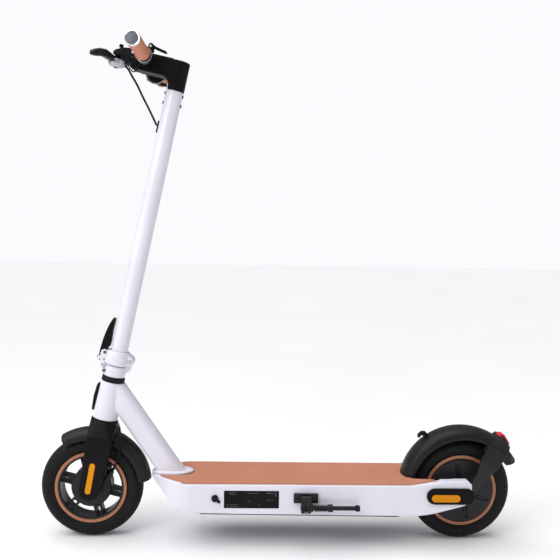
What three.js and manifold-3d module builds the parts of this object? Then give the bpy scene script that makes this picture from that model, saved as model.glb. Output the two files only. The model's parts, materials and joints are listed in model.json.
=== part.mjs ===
// Electric kick scooter: folding stem, front drum brake, rear hub motor.
// Millimetres. +X forwards, +Y to the rider's left, +Z up. The origin is on the ground, in the middle of
// the object's box. Frame parts are drawn from the middle of the wheelbase; steering parts are drawn on
// the steering axis, where local z runs up the axis and local x points forwards, square to it.
import * as THREE from "three";
import { mergeVertices } from "three/addons/utils/BufferGeometryUtils.js";
import Module from "manifold-3d";

const wasm = await Module();
wasm.setup();

// ---- driving dimensions ----
const GAP = 0.3; // between pieces that touch
const BOX_SHIFT = 7.3; // from the middle of the object's box to the middle of the wheelbase
const WHEELBASE = 926.4;
const TYRE_R = 127; // a 10 inch tyre
const TYRE_HALF = 27;
const RIM_R = 90;
const RIM_HALF = 24.5;
const AXLE_R = 6;
const AXLE_BORE = AXLE_R + GAP;
const WHEEL_SIDES = 40;
const REAR_X = -WHEELBASE / 2;
const RAKE = 0.20594; // 11.8 degrees
const STEER_X = 468.4; // foot of the steering axis
const STEER_Z = 128.1;
const TRAIL = -5.3; // front axle, behind the steering axis
const STEERER_R = 15;
const STEM_R = 21;
const STEM_TOP = 1010;
const BAR_X = 75; // handlebar, in front of the steering axis
const BAR_Z = 1054;
const BAR_R = 12;
const BAR_HALF = 234.2;
const GRIP_R = 17;
const GRIP_INNER = 104;
const DECK_TOP = 158;
const DECK_BOTTOM = 84; // at the rear; the underside rises by DECK_RISE to the front
const DECK_RISE = 4;
const DECK_HALF = 90;
const DECK_REAR = -308;
const ARM_IN = 66; // rear arms, distance from the middle plane
const ARM_OUT = 88;
const LEG_IN = 38; // fork legs
const LEG_OUT = 50;
const COVER_OUT = 62;
const HEAD_HALF = 26;
const HEAD_TOP = 1071;
const FOLD_X = -33; // fold hinge pin, on the steering axis frame
const FOLD_Z = 327;
const LATCH_X = 38; // lever pivot
const LATCH_Z = 321;

// ---- materials ----
function finish(color, roughness, metalness) {
  return new THREE.MeshStandardMaterial({ color, roughness, metalness });
}
const WHITE = finish(0xeeedf2, 0.4, 0);
const BLACK = finish(0x232326, 0.55, 0);
const RUBBER = finish(0x2a2a2c, 0.85, 0);
const COPPER = finish(0xc6876f, 0.7, 0);
const GRIP = finish(0xc87860, 0.75, 0);
const STEEL = finish(0xb8b8bc, 0.35, 1);
const CHROME = finish(0xd8d8dc, 0.15, 1);
const SILVER = finish(0xa9abb2, 0.4, 0.8);
const RED = finish(0xc01818, 0.3, 0);
const CLEAR = finish(0xdfe3ea, 0.15, 0);
const GLASS = finish(0x101114, 0.1, 0);
const DARK_METAL = finish(0x3a3b40, 0.5, 0.6);

// ---- solids ----
function solid(geometry) {
  const bare = geometry.clone();
  bare.deleteAttribute("normal");
  bare.deleteAttribute("uv");
  const merged = mergeVertices(bare, 1e-4);
  const triVerts = new Uint32Array(merged.index.array);
  const vertProperties = merged.attributes.position.array;
  const made = new wasm.Manifold(new wasm.Mesh({ numProp: 3, vertProperties, triVerts }));
  if (made.volume() > 0) return made;
  triVerts.reverse(); // the outline ran the other way round
  return new wasm.Manifold(new wasm.Mesh({ numProp: 3, vertProperties, triVerts }));
}

function surface(made) {
  const mesh = made.getMesh();
  const geometry = new THREE.BufferGeometry();
  geometry.setAttribute("position", new THREE.BufferAttribute(new Float32Array(mesh.vertProperties), 3));
  geometry.setIndex(new THREE.BufferAttribute(new Uint32Array(mesh.triVerts), 1));
  geometry.computeVertexNormals();
  return geometry;
}

function join(first, ...rest) {
  return rest.reduce((whole, piece) => whole.add(piece), first);
}

function cut(first, ...rest) {
  return rest.reduce((whole, piece) => whole.subtract(piece), first);
}

function block(x0, x1, y0, y1, z0, z1) {
  const box = new THREE.BoxGeometry(x1 - x0, y1 - y0, z1 - z0);
  return solid(box.translate((x0 + x1) / 2, (y0 + y1) / 2, (z0 + z1) / 2));
}

// A round bar along Y, between two y values, at x and z.
function barY(x, z, radius, y0, y1, sides = 20) {
  const bar = new THREE.CylinderGeometry(radius, radius, y1 - y0, sides);
  return solid(bar.translate(x, (y0 + y1) / 2, z));
}

// A round bar along Z.
function barZ(x, y, radius, z0, z1, sides = 20) {
  const bar = new THREE.CylinderGeometry(radius, radius, z1 - z0, sides);
  return solid(bar.rotateX(Math.PI / 2).translate(x, y, (z0 + z1) / 2));
}

// A profile of [radius, height] points turned about Z.
function turnedZ(profile, sides = 24) {
  const points = profile.map(([r, h]) => new THREE.Vector2(r, h));
  return solid(new THREE.LatheGeometry([...points, points[0]], sides).rotateX(Math.PI / 2));
}

// A profile of [radius, y] points turned about Y.
function turnedY(profile, sides = WHEEL_SIDES) {
  const points = profile.map(([r, h]) => new THREE.Vector2(r, h));
  return solid(new THREE.LatheGeometry([...points, points[0]], sides));
}

function outline(points) {
  return new THREE.Shape(points.map(([a, b]) => new THREE.Vector2(a, b)));
}

const ALONG_Y = new THREE.Matrix4().makeBasis(
  new THREE.Vector3(1, 0, 0), new THREE.Vector3(0, 0, 1), new THREE.Vector3(0, -1, 0));

// A side view of [x, z] points, as a plate between two y values, with bevelled edges if asked.
function plateY(points, y0, y1, bevel = 0) {
  const depth = y1 - y0 - 2 * bevel;
  const settings = { depth, bevelEnabled: bevel > 0, bevelSize: bevel, bevelThickness: bevel,
    bevelOffset: -bevel, bevelSegments: 1, curveSegments: 5 };
  const shape = Array.isArray(points) ? outline(points) : points;
  return solid(new THREE.ExtrudeGeometry(shape, settings).applyMatrix4(ALONG_Y).translate(0, y1 - bevel, 0));
}

// A plan of [x, y] points, as a plate between two z values.
function plateZ(points, z0, z1, bevel = 0) {
  const depth = z1 - z0 - 2 * bevel;
  const settings = { depth, bevelEnabled: bevel > 0, bevelSize: bevel, bevelThickness: bevel,
    bevelOffset: -bevel, bevelSegments: 1, curveSegments: 5 };
  const shape = Array.isArray(points) ? outline(points) : points;
  return solid(new THREE.ExtrudeGeometry(shape, settings).translate(0, 0, z0 + bevel));
}

// A flat bar with round ends, as a side view.
function stadium(x0, x1, z0, z1) {
  const r = (z1 - z0) / 2;
  const shape = new THREE.Shape();
  shape.absarc(x1 - r, z0 + r, r, -Math.PI / 2, Math.PI / 2);
  shape.absarc(x0 + r, z0 + r, r, Math.PI / 2, Math.PI * 1.5);
  return shape;
}

// A round cable or rod along a smooth curve.
function cable(points, radius, steps) {
  const path = new THREE.CatmullRomCurve3(points.map((p) => new THREE.Vector3(...p)));
  const section = new THREE.Shape().absarc(0, 0, radius, 0, Math.PI * 2);
  const settings = { steps, extrudePath: path, curveSegments: 4 };
  return solid(new THREE.ExtrudeGeometry(section, settings));
}

// The half of a section at y > 0, mirrored, so that an outline is symmetric about the middle plane.
function mirrored(half) {
  const other = half.map(([a, y]) => [a, -y]).reverse();
  return [...half, ...other];
}

// ---- the scene graph ----
const scooter = new THREE.Group();
const chassis = new THREE.Group();
chassis.position.x = BOX_SHIFT;
const steering = new THREE.Group();
steering.position.set(STEER_X, 0, STEER_Z);
steering.rotation.y = -RAKE;
scooter.add(chassis);
chassis.add(steering);

function add(group, name, material, made) {
  const mesh = new THREE.Mesh(surface(made), material);
  mesh.name = name;
  group.add(mesh);
}

function addPair(group, name, material, made) {
  add(group, name + "_left", material, made);
  const other = made.getMesh();
  const flipped = new Float32Array(other.vertProperties);
  for (let i = 1; i < flipped.length; i += 3) flipped[i] = -flipped[i];
  const triVerts = new Uint32Array(other.triVerts).reverse();
  const right = new wasm.Manifold(new wasm.Mesh({ numProp: 3, vertProperties: flipped, triVerts }));
  add(group, name + "_right", material, right);
}

// ---- head tube and down tube ----
const HEAD_TUBE = [[23, 173], [31.5, 173], [28.5, 269], [23, 269], [23, 260], [19, 260], [19, 182], [23, 182]];

function headTube() {
  return turnedZ(HEAD_TUBE);
}

function headsetBearing() {
  return turnedZ([[STEERER_R + GAP, 173.5], [22.7, 173.5], [22.7, 181.7], [STEERER_R + GAP, 181.7]]);
}

function frontReflector() {
  const strip = plateY([[24, 191], [35, 191], [36, 223], [34, 255], [24, 255]], -9, 9);
  return strip.subtract(turnedZ([[0, 165], [32.1, 165], [28.7, 275], [0, 275]]));
}

// The tube's section, as distance from the line below it and half width.
const TUBE_ANGLE = 0.963; // slope of the down tube above level
const TUBE_SECTION = mirrored([[-152, 12], [-148, 19], [-139, 23], [-106, 24], [-99, 16], [-94.5, 7]]);

function downTube() {
  const along = new THREE.Vector3(Math.cos(TUBE_ANGLE), 0, Math.sin(TUBE_ANGLE));
  const across = new THREE.Vector3(-along.z, 0, along.x);
  const place = new THREE.Matrix4().makeBasis(across, new THREE.Vector3(0, -1, 0), along);
  const bar = new THREE.ExtrudeGeometry(outline(TUBE_SECTION), { depth: 600, bevelEnabled: false });
  const tube = solid(bar.applyMatrix4(place));
  const flange = plateZ(flangePlan(), DECK_TOP + 4, DECK_TOP + 10, 1.5);
  const under = block(-300, 600, -60, 60, -200, DECK_TOP + 6);
  const head = turnedZ([[0, 100], [33.9, 100], [28.6, 268.6], [60, 268.6], [60, 700], [0, 700]]);
  const beyond = block(0, 700, -60, 60, 0, 700);
  return join(tube.subtract(under), flange).subtract(onSteering(join(head, beyond)));
}

// A solid drawn on the steering axis, moved into the chassis frame.
function onSteering(made) {
  steering.updateMatrix();
  const shape = surface(made);
  shape.applyMatrix4(steering.matrix);
  return solid(shape);
}

function flangePlan() {
  const plan = new THREE.Shape();
  plan.absellipse(262, 0, 52.5, 30, 0, Math.PI * 2);
  return plan;
}

// ---- deck ----
const DECK_PLAN = mirrored([[DECK_REAR, 84], [DECK_REAR + 8, DECK_HALF], [215, DECK_HALF], [238, 85],
  [268, 64], [292, 40], [308, 20], [314, 6]]);
const DECK_SIDE = [[DECK_REAR, DECK_BOTTOM], [199, DECK_BOTTOM + DECK_RISE], [211, 91.5], [222, 94.5],
  [250, 102], [306, 148], [314, 154], [314, DECK_TOP + 3.7], [236, DECK_TOP + 3.7], [230, DECK_TOP],
  [DECK_REAR, DECK_TOP]];

function deckTray() {
  const body = plateY(DECK_SIDE, -100, 100).intersect(plateZ(DECK_PLAN, 50, 200));
  const hollow = block(-294, 186, -80, 80, 0, DECK_TOP - 4);
  const socket = barY(150.6, 126, 8.2, 78, 95, 16);
  return cut(body, hollow, socket);
}

function deckMat() {
  const half = [[-306, 78], [-300, 80.5], [60, 80.5], [212, 82.5], [228, 82], [231, 60], [217, 44], [206, 22],
    [203, 6]];
  return plateZ(mirrored(half), DECK_TOP + GAP, DECK_TOP + 4, 0.8);
}

function bottomCover() {
  const half = [[-303, 76], [-296, 83], [185, 83], [199, 70]];
  const top = DECK_BOTTOM - GAP;
  const side = [[-303, top - 4.4], [-303, top], [199, top + DECK_RISE], [199, top + DECK_RISE - 4.4]];
  return plateY(side, -90, 90).intersect(plateZ(mirrored(half), 60, 100));
}

function batteryPack() {
  return block(-285, 60, -70, 70, DECK_BOTTOM + DECK_RISE + 1, DECK_TOP - 12);
}

function motorController() {
  return block(75, 135, -45, 45, DECK_BOTTOM + DECK_RISE + 1, DECK_TOP - 30);
}

function chargePort() {
  const ring = barY(150.6, 126, 8, 79, 91.5, 16);
  return ring.subtract(barY(150.6, 126, 5.4, 81, 95, 16));
}

// The rubber flap lies over the socket and turns about its tab, at the lower rear.
function chargeCap() {
  const disc = barY(150.6, 126, 8.6, 91.8, 94.6, 20);
  const tab = plateY([[136, 118], [141, 113], [150, 121], [145, 127]], 91.8, 93.6);
  return disc.add(tab);
}

// ---- rear arms, fender and axle ----
const ARM_SIDE = [[DECK_REAR - GAP, 84], [-341, 84], [-380, 89], [-452, 108], [-466, 114], [-474, 126],
  [-475, 140], [-474, 162], [-463, 172], [-398, 170], [-397, 167], [-378, 166.5], [-345, 161],
  [-325, 157], [DECK_REAR - GAP, 156]];
const REAR_AXLE_Z = TYRE_R;

function rearArm() {
  return plateY(ARM_SIDE, ARM_IN, ARM_OUT, 2).subtract(barY(REAR_X, REAR_AXLE_Z, AXLE_BORE, 0, 120));
}

function armCover() {
  return plateY(stadium(-480, -363, 115, 154), ARM_OUT + GAP, ARM_OUT + 8, 2);
}

function rearAxle() {
  return barY(REAR_X, REAR_AXLE_Z, AXLE_R, -ARM_OUT, ARM_OUT, 20);
}

// A mudguard shell: crowned section turned about the axle, kept between two angles.
function fenderShell(crown, edge, half, from, to, centreX, centreZ) {
  const thickness = 3.2;
  const outer = [[edge, half], [crown - 13, half - 4], [crown - 4, half * 0.6], [crown, half * 0.2]];
  const inner = [[crown - thickness, half * 0.18], [crown - 4 - thickness, half * 0.55],
    [crown - 13 - thickness, half - 7], [edge, half - thickness]];
  const shell = turnedY(orderedRing(outer, inner), 56).translate([centreX, 0, centreZ]);
  return shell.intersect(wedge(centreX, centreZ, from, to));
}

// Outer half, mirrored outer, mirrored inner and inner half, in one closed loop.
function orderedRing(outer, inner) {
  const outerFar = outer.map(([r, y]) => [r, -y]).reverse();
  const innerFar = inner.map(([r, y]) => [r, -y]);
  return [...outer, ...outerFar, ...innerFar.reverse(), ...inner];
}

function wedge(centreX, centreZ, from, to) {
  const reach = 260;
  const points = [[centreX, centreZ]];
  const steps = 6;
  for (let i = 0; i <= steps; i++) {
    const angle = THREE.MathUtils.degToRad(from + ((to - from) * i) / steps);
    points.push([centreX + reach * Math.cos(angle), centreZ + reach * Math.sin(angle)]);
  }
  return plateY(points, -80, 80);
}

const FENDER_R = 157.5; // the rear mudguard's crown, about a point just behind and above the axle
const FENDER_X = REAR_X - 5;
const FENDER_Z = REAR_AXLE_Z + 2;

function rearFender() {
  const shell = fenderShell(FENDER_R, 129, 40, 15, 121, FENDER_X, FENDER_Z);
  const podPlan = plateZ(mirrored([[-500, 34], [-560, 34], [-590, 24], [-604.8, 8]]), 150, 320);
  const pod = plateY([[-532, 268], [-547, 264], [-560, 266], [-582, 235], [-580, 226], [-604.8, 198.5],
    [-602, 191.5], [-575, 192], [-545, 214], [-520, 240]], -40, 40).intersect(podPlan);
  const foot = plateY([[-313, 169], [-322, 162.5], [-345, 163], [-362, 168], [-345, 175], [-319, 182]],
    -40, 40, 1);
  const wheelRoom = barY(REAR_X, REAR_AXLE_Z, TYRE_R + 8, -60, 60, 56);
  return join(shell, pod.subtract(wheelRoom), foot.subtract(wheelRoom), stay(1), stay(-1));
}

// A stay from the tail of the fender down and out to the rear arm.
function stay(side) {
  const bar = plateY([[-512, 206], [-494, 180], [-478, 158], [-481, 137], [-513, 157], [-545, 186],
    [-573, 204], [-575, 225], [-548, 228]], 0, 5);
  const shear = new THREE.Matrix4().set(1, 0, 0, 0, 0.58, 1, 0, 58 + 0.58 * 512, 0, 0, 1, 0, 0, 0, 0, 1);
  const outward = surface(bar).applyMatrix4(shear);
  return solid(side > 0 ? outward : outward.applyMatrix4(new THREE.Matrix4().makeScale(1, -1, 1)));
}

function fenderHook() {
  return plateY([[-357, 255], [-361.5, 264], [-373, 269], [-386, 264], [-381, 259.5], [-370, 253.5]],
    -8, 8, 0.8).subtract(barY(FENDER_X, FENDER_Z, FENDER_R + GAP, -20, 20, 56));
}

function tailLight() {
  return plateY([[-563, 269], [-567, 269], [-590, 236], [-586, 230]], -22, 22)
    .subtract(plateY([[-532, 268], [-560.3, 266.3], [-582.3, 235], [-580.3, 226], [-540, 220]], -30, 30));
}

// ---- kickstand ----
const STAND_X = -68;
const STAND_Y = 110;
const STAND_Z = 111;

const STAND_TILT = 20; // degrees, so that the foot swings out as it comes down

// A round bar on the kickstand's pin, between two distances from the middle of the leg's eye.
function onStandPin(radius, from, to, sides = 16) {
  return barY(0, 0, radius, from, to, sides).rotate([STAND_TILT, 0, 0]).translate([STAND_X, STAND_Y, STAND_Z]);
}

function kickstandBracket() {
  const plate = plateY([[-99, 118], [-96, 140.4], [-41, 140.4], [-38, 118], [-50, 100], [-86, 100]],
    DECK_HALF + GAP, 98, 1);
  const inboard = block(-140, 0, 60, DECK_HALF + GAP, 60, 160);
  return join(plate, onStandPin(13, -17, -6.4), onStandPin(4, -16, 8)).subtract(inboard);
}

function kickstandLeg() {
  const eye = onStandPin(9.5, -6, 6, 20);
  const rod = new THREE.CylinderGeometry(5.5, 5.5, 116, 12).rotateZ(Math.PI / 2);
  const spring = new THREE.CylinderGeometry(8, 8, 29, 16).rotateZ(Math.PI / 2);
  const collar = new THREE.CylinderGeometry(9.2, 9.2, 12, 16).rotateZ(Math.PI / 2);
  const whole = join(eye, solid(rod.translate(STAND_X - 60, STAND_Y, STAND_Z)),
    solid(spring.translate(-106.5, STAND_Y, STAND_Z)), solid(collar.translate(-127, STAND_Y, STAND_Z)));
  return whole.subtract(onStandPin(4 + GAP, -20, 20));
}

function kickstandFoot() {
  const knob = new THREE.CylinderGeometry(7.5, 7.5, 11.7, 16).rotateZ(Math.PI / 2);
  return solid(knob.translate(-192.2, STAND_Y, STAND_Z));
}

// ---- wheels, each about its own axle ----
function tyre() {
  return turnedY([[RIM_R + GAP, 22], [97, 25.5], [106, TYRE_HALF], [116, 24], [123, 16], [TYRE_R, 6],
    [TYRE_R, -6], [123, -16], [116, -24], [106, -TYRE_HALF], [97, -25.5], [RIM_R + GAP, -22]]);
}

function hubMotor() {
  return turnedY([[AXLE_BORE, 42], [22, 42], [26, 36], [72, 32], [79, RIM_HALF], [RIM_R, RIM_HALF],
    [RIM_R, -RIM_HALF], [79, -RIM_HALF], [72, -32], [26, -36], [22, -42], [AXLE_BORE, -42]]);
}

function frontRim() {
  const band = turnedY([[76, RIM_HALF], [RIM_R, RIM_HALF], [RIM_R, -RIM_HALF], [76, -RIM_HALF]]);
  const drum = turnedY([[AXLE_BORE, 24], [47, 24], [50, 18], [50, -18], [47, -24], [AXLE_BORE, -24]], 32);
  const spokes = [];
  for (let i = 0; i < 6; i++) {
    const angle = THREE.MathUtils.degToRad(60 * i + 15);
    for (const side of [-1, 1]) {
      const bar = new THREE.BoxGeometry(34, 26, 5).translate(63, 0, side * 7.5).rotateY(angle);
      spokes.push(solid(bar));
    }
  }
  return join(band, drum, ...spokes);
}

// ---- fork ----
function fork() {
  const steerer = turnedZ([[0, 150], [STEERER_R, 150], [STEERER_R, 305], [0, 305]]);
  const crown = join(barZ(0, 0, 33, 156, 171), block(-30, 22, -LEG_OUT, LEG_OUT, 151, 160));
  const legSide = [[12, 152], [14, 6], [6, -14], [-6, -17.5], [-17, -14], [-25, 4], [-26, 152]];
  const legs = [plateY(legSide, LEG_IN, LEG_OUT), plateY(legSide, -LEG_OUT, -LEG_IN)];
  return join(steerer, crown, ...legs).subtract(barY(TRAIL, 0, AXLE_BORE, -80, 80));
}

function forkCover() {
  const side = outline([[26, 163], [28, 142], [21, 74], [18, 6]]);
  side.quadraticCurveTo(14, -21, -8, -21);
  side.quadraticCurveTo(-33, -20, -35.5, 26);
  side.lineTo(-37, 87);
  side.lineTo(-39, 142);
  side.lineTo(-33, 163);
  const shell = plateY(side, LEG_OUT + GAP, COVER_OUT, 3);
  const slope = plateY([[-60, 150], [60, 150], [60, 200], [-60, 200]], COVER_OUT - 6, COVER_OUT + 5);
  return shell.subtract(slope);
}

function frontAxle() {
  return barY(TRAIL, 0, AXLE_R, -LEG_OUT, LEG_OUT, 20);
}

function frontFender() {
  const shell = fenderShell(148, 120, 34, 59, 173, 0, 0);
  const turned = surface(shell).rotateY(RAKE).translate(TRAIL, 0, 0);
  return solid(turned);
}

function headsetCover() {
  return turnedZ([[STEERER_R + GAP, 269.3], [28.5, 269.3], [28.5, 280], [26, 282], [STEERER_R + GAP, 282]]);
}

// Drum brake: a plate held by the left fork leg, with the arm that the cable pulls.
const ARM_PIVOT = [-34, 14];

function brakePlate() {
  const disc = turnedY([[AXLE_BORE, 25], [44, 25], [44, 29], [38, 31], [AXLE_BORE, 31]], 32);
  const boss = barY(ARM_PIVOT[0] - TRAIL, ARM_PIVOT[1], 4, 27, 36, 12);
  return join(disc, boss).translate([TRAIL, 0, 0]);
}

function brakeArm() {
  const [px, pz] = ARM_PIVOT;
  const side = [[px + 3, pz - 6], [px + 7, pz + 1], [px - 14, pz + 40], [px - 21, pz + 37], [px - 6, pz - 5]];
  const arm = plateY(side, 31.5, 35);
  return arm.subtract(barY(px, pz, 4 + GAP, 20, 40, 12));
}

function drumCable() {
  const route = [[-31, 19, 165], [-42, 29, 160], [-51, 37, 146], [-57, 39, 120], [-57, 37, 95],
    [-52, 33.6, 57]];
  return cable(route, 2.2, 20);
}

// ---- folding joint ----
function hingeBase() {
  const ring = turnedZ([[STEERER_R + GAP, 282.3], [25.5, 282.3], [25.5, 309], [STEERER_R + GAP, 309]]);
  const cap = barZ(0, 0, 20, 305.3, 309, 24);
  const ear = plateY([[-24, 290], [-24, 308], [-25, 327], [-33, 335], [-41, 327], [-36, 300]], -7, 7);
  const lug = plateY([[20, 284], [31, 286], [33, 297], [29, 303], [20, 304]], -11, 11);
  const bolt = barY(26, 295, 5, -18, 18, 16);
  const bore = turnedZ([[0, 280], [STEERER_R + GAP, 280], [STEERER_R + GAP, 305.3], [0, 305.3]]);
  return join(ring, cap, ear, lug, bolt).subtract(bore).subtract(barY(FOLD_X, FOLD_Z, 4 + GAP, -20, 20, 16));
}

function hingeCollar() {
  const ring = turnedZ([[STEM_R + GAP, 313], [STEM_R - 3, 313], [STEM_R - 3, 311], [27, 311], [31, 316],
    [31, 342], [27, 347], [STEM_R + GAP, 347]]);
  const cheeks = plateY([[-20, 318], [-20, 340], [-34, 337], [-42, 331], [-42, 322], [-36, 318]], -17, 17, 1);
  const lug = plateY([[27, 315], [37, 315], [44, 319], [43, 325], [36, 328], [27, 330]], -5, 5);
  const slot = block(-60, -22.6, -7.6, 7.6, 300, 337);
  const inside = barZ(0, 0, STEM_R + GAP, 313, 360, 32);
  const pinHole = barY(FOLD_X, FOLD_Z, 4 + GAP, -30, 30, 16);
  const leverHole = barY(LATCH_X, LATCH_Z, 3 + GAP, -20, 20, 12);
  return cut(join(ring, cheeks, lug), slot, inside, pinHole, leverHole);
}

function foldPin() {
  return barY(FOLD_X, FOLD_Z, 4, -18.5, 18.5, 16);
}

function latchLever() {
  const side = [[44, 315], [46, 340], [41, 388], [30, 425], [24, 421], [23.5, 364], [25, 351], [32.5, 348],
    [32.5, 317], [36, 314]];
  const body = plateY(side, -12, 12, 1.5);
  const slot = block(20, 60, -5.6, 5.6, 305, 332);
  const pin = barY(LATCH_X, LATCH_Z, 3, -8, 8, 12);
  return join(body.subtract(slot), pin);
}

function latchLink() {
  const side = [[33, 300.8], [39, 305], [42.5, 338], [38, 342.5], [33.5, 338], [29, 304]];
  const plates = [plateY(side, 12.4, 16.4), plateY(side, -16.4, -12.4)];
  const bridge = plateY([[46.6, 322], [49.6, 324], [49.6, 332], [46.8, 332]], -16.4, 16.4);
  const tie = [[36, 320], [49.6, 322], [49.6, 332], [38, 332]];
  const ties = [plateY(tie, 12.4, 16.4), plateY(tie, -16.4, -12.4)];
  return join(plates[0], plates[1], bridge, ...ties);
}

// ---- stem and head ----
function stemTube() {
  return turnedZ([[STEM_R - 2.5, 313.4], [STEM_R, 313.4], [STEM_R, STEM_TOP], [STEM_R - 2.5, STEM_TOP]]);
}

function headShell() {
  const side = new THREE.Shape();
  side.moveTo(-22, 999);
  side.lineTo(15, 999);
  side.quadraticCurveTo(16, 1026, 36, 1027);
  side.lineTo(95, 1027.5);
  side.lineTo(95, HEAD_TOP);
  side.lineTo(-10, HEAD_TOP);
  side.quadraticCurveTo(-22, HEAD_TOP - 1, -22, 1057);
  const plan = [[95, 26], [0, 26], [-12, 23], [-20, 14], [-23, 0]];
  const body = plateY(side, -HEAD_HALF, HEAD_HALF, 4).intersect(plateZ(mirrored(plan), 980, 1100));
  const socket = barZ(0, 0, STEM_R + GAP, 990, STEM_TOP + GAP, 32);
  const bar = barY(BAR_X, BAR_Z, BAR_R + GAP, -60, 60);
  const button = barZ(3, 0, 7, HEAD_TOP - 5, HEAD_TOP + 5);
  return cut(body, socket, bar, button);
}

function display() {
  return plateZ(mirrored([[16, 19], [19, 21], [88, 21], [91, 19]]), HEAD_TOP + GAP, HEAD_TOP + 2.3, 0.6);
}

function powerButton() {
  return barZ(3, 0, 6.6, HEAD_TOP - 2.5, HEAD_TOP + 2);
}

function headlight() {
  const side = [[95.3, 1028], [108, 1028], [113, 1033], [114, 1040], [114, 1059], [110, HEAD_TOP - 1],
    [95.3, HEAD_TOP]];
  return plateY(side, -HEAD_HALF + 2, HEAD_HALF - 2, 3);
}

// ---- handlebar and controls, about the bar's axis ----
function handlebar() {
  const wall = 2.2;
  return barY(BAR_X, BAR_Z, BAR_R, -228, 228).subtract(barY(BAR_X, BAR_Z, BAR_R - wall, -240, 240));
}

function grip() {
  const sleeve = barY(BAR_X, BAR_Z, GRIP_R, GRIP_INNER, BAR_HALF - 5.3);
  return sleeve.subtract(barY(BAR_X, BAR_Z, BAR_R + GAP, 0, 300));
}

function barEnd() {
  return barY(BAR_X, BAR_Z, GRIP_R - 0.3, BAR_HALF - 5, BAR_HALF);
}

function clampRing(radius, y0, y1) {
  return barY(BAR_X, BAR_Z, radius, y0, y1).subtract(barY(BAR_X, BAR_Z, BAR_R + GAP, y0 - 5, y1 + 5));
}

// The perch holds the lever's pivot in front of the bar, with the bell dome under it.
const LEVER_Y = 84;
const LEVER_FALL = 0.17; // the blade drops towards its tip

function brakePerch() {
  const ring = clampRing(16.5, 84, 103.7);
  const neck = plateY([[88, 1060], [88, 1042], [110, 1040], [124, 1040], [140, 1037], [140, 1046], [122, 1056]],
    84, 101, 1);
  const boss = block(112, 140, 72, 101, 1037, 1044);
  const floor = block(112, 140, 72, 96, 1019, 1023);
  const back = block(112, 116.5, 72, 92, 1019, 1044);
  const post = block(126, 131, 82.4, 85, 1043, 1052);
  return join(ring, neck, boss, floor, back, post);
}

function bellDome() {
  const dome = [[0, 1018.7], [17, 1018.7], [19, 1015], [16, 1011], [9, 1009], [0, 1008.4]];
  const points = dome.map(([r, h]) => new THREE.Vector2(r, h));
  const cup = new THREE.LatheGeometry(points, 24).rotateX(Math.PI / 2);
  return solid(cup.translate(129, 94, 0));
}

function brakeLever() {
  const plan = new THREE.Shape();
  plan.moveTo(121, 80);
  plan.quadraticCurveTo(124, 74, 136, 78);
  plan.quadraticCurveTo(146, 92, 150, 120);
  plan.quadraticCurveTo(155, 158, 165, 184);
  plan.quadraticCurveTo(168, 196, 160, 197);
  plan.quadraticCurveTo(151, 194, 146, 176);
  plan.quadraticCurveTo(138, 130, 130, 106);
  plan.quadraticCurveTo(121, 96, 121, 80);
  const blade = plateZ(plan, 1023.4, 1036.6, 2);
  const slope = new THREE.Matrix4().set(1, 0, 0, 0, 0, 1, 0, 0, 0, -LEVER_FALL, 1, LEVER_FALL * LEVER_Y,
    0, 0, 0, 1);
  const tilted = solid(surface(blade).applyMatrix4(slope));
  const under = block(90, 200, 40, 106, 1000, 1023.3);
  const over = block(90, 200, 40, 106, 1036.7, 1080);
  return cut(tilted, under, over);
}

function bellStriker() {
  const stalk = block(126, 130, 76, 80, 1048, 1060);
  const knob = barZ(130, 78, 5, 1058, 1066, 12);
  return join(stalk, knob, block(125, 132, 74, 82, 1046.5, 1050));
}

function thumbHousing() {
  const ring = clampRing(19, 62, 83.7);
  const ears = [block(58, 68, 62, 65.6, 1066, 1083), block(58, 68, 80.4, 83.7, 1066, 1083)];
  return join(ring, ...ears.map((ear) => ear.subtract(barY(BAR_X, BAR_Z, 18, 50, 90))));
}

function thumbLever() {
  const side = [[68, 1076.6], [68, 1082], [62, 1085], [56, 1081], [26, 1074], [24, 1070], [28, 1069],
    [58, 1076.6]];
  return plateY(side, 66, 80, 1);
}

function throttleHousing() {
  const ring = clampRing(22, -84, -62);
  const lug = block(62, 84, -80, -64, 1029, 1036);
  return ring.add(lug.subtract(barY(BAR_X, BAR_Z, 20, -90, -50)));
}

function throttleLever() {
  const side = [[86, 1023], [85, 1027.2], [64, 1028.6], [50, 1024], [34, 1024], [30, 1020], [36, 1017],
    [60, 1018], [82, 1021]];
  return plateY(side, -81, -63, 1.5);
}

function brakeCable() {
  return cable([[122, 68.5, 1022], [110, 62, 1018.5], [97, 54, 1004], [83, 45, 988], [67, 33, 966],
    [47, 19, 940], [25.2, 3, 910]], 2.5, 32);
}

// ---- assembly ----
add(steering, "head_tube", WHITE, headTube());
add(steering, "headset_bearing", STEEL, headsetBearing());
add(steering, "front_reflector", BLACK, frontReflector());
add(chassis, "down_tube", WHITE, downTube());
add(chassis, "deck_tray", WHITE, deckTray());
add(chassis, "bottom_cover", BLACK, bottomCover());
add(chassis, "deck_mat", COPPER, deckMat());
add(chassis, "battery_pack", DARK_METAL, batteryPack());
add(chassis, "motor_controller", DARK_METAL, motorController());
add(chassis, "charge_port", BLACK, chargePort());
add(chassis, "charge_cap", RUBBER, chargeCap());
addPair(chassis, "rear_arm", WHITE, rearArm());
addPair(chassis, "arm_cover", BLACK, armCover());
add(chassis, "rear_axle", STEEL, rearAxle());
add(chassis, "rear_fender", BLACK, rearFender());
add(chassis, "fender_hook", BLACK, fenderHook());
add(chassis, "tail_light_lens", RED, tailLight());
add(chassis, "kickstand_bracket", BLACK, kickstandBracket());
add(chassis, "kickstand_leg", BLACK, kickstandLeg());
add(chassis, "kickstand_foot", RUBBER, kickstandFoot());

const rearWheel = new THREE.Group();
rearWheel.position.set(REAR_X, 0, REAR_AXLE_Z);
chassis.add(rearWheel);
add(rearWheel, "rear_hub_motor", DARK_METAL, hubMotor());
add(rearWheel, "rear_tyre", RUBBER, tyre());

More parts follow.
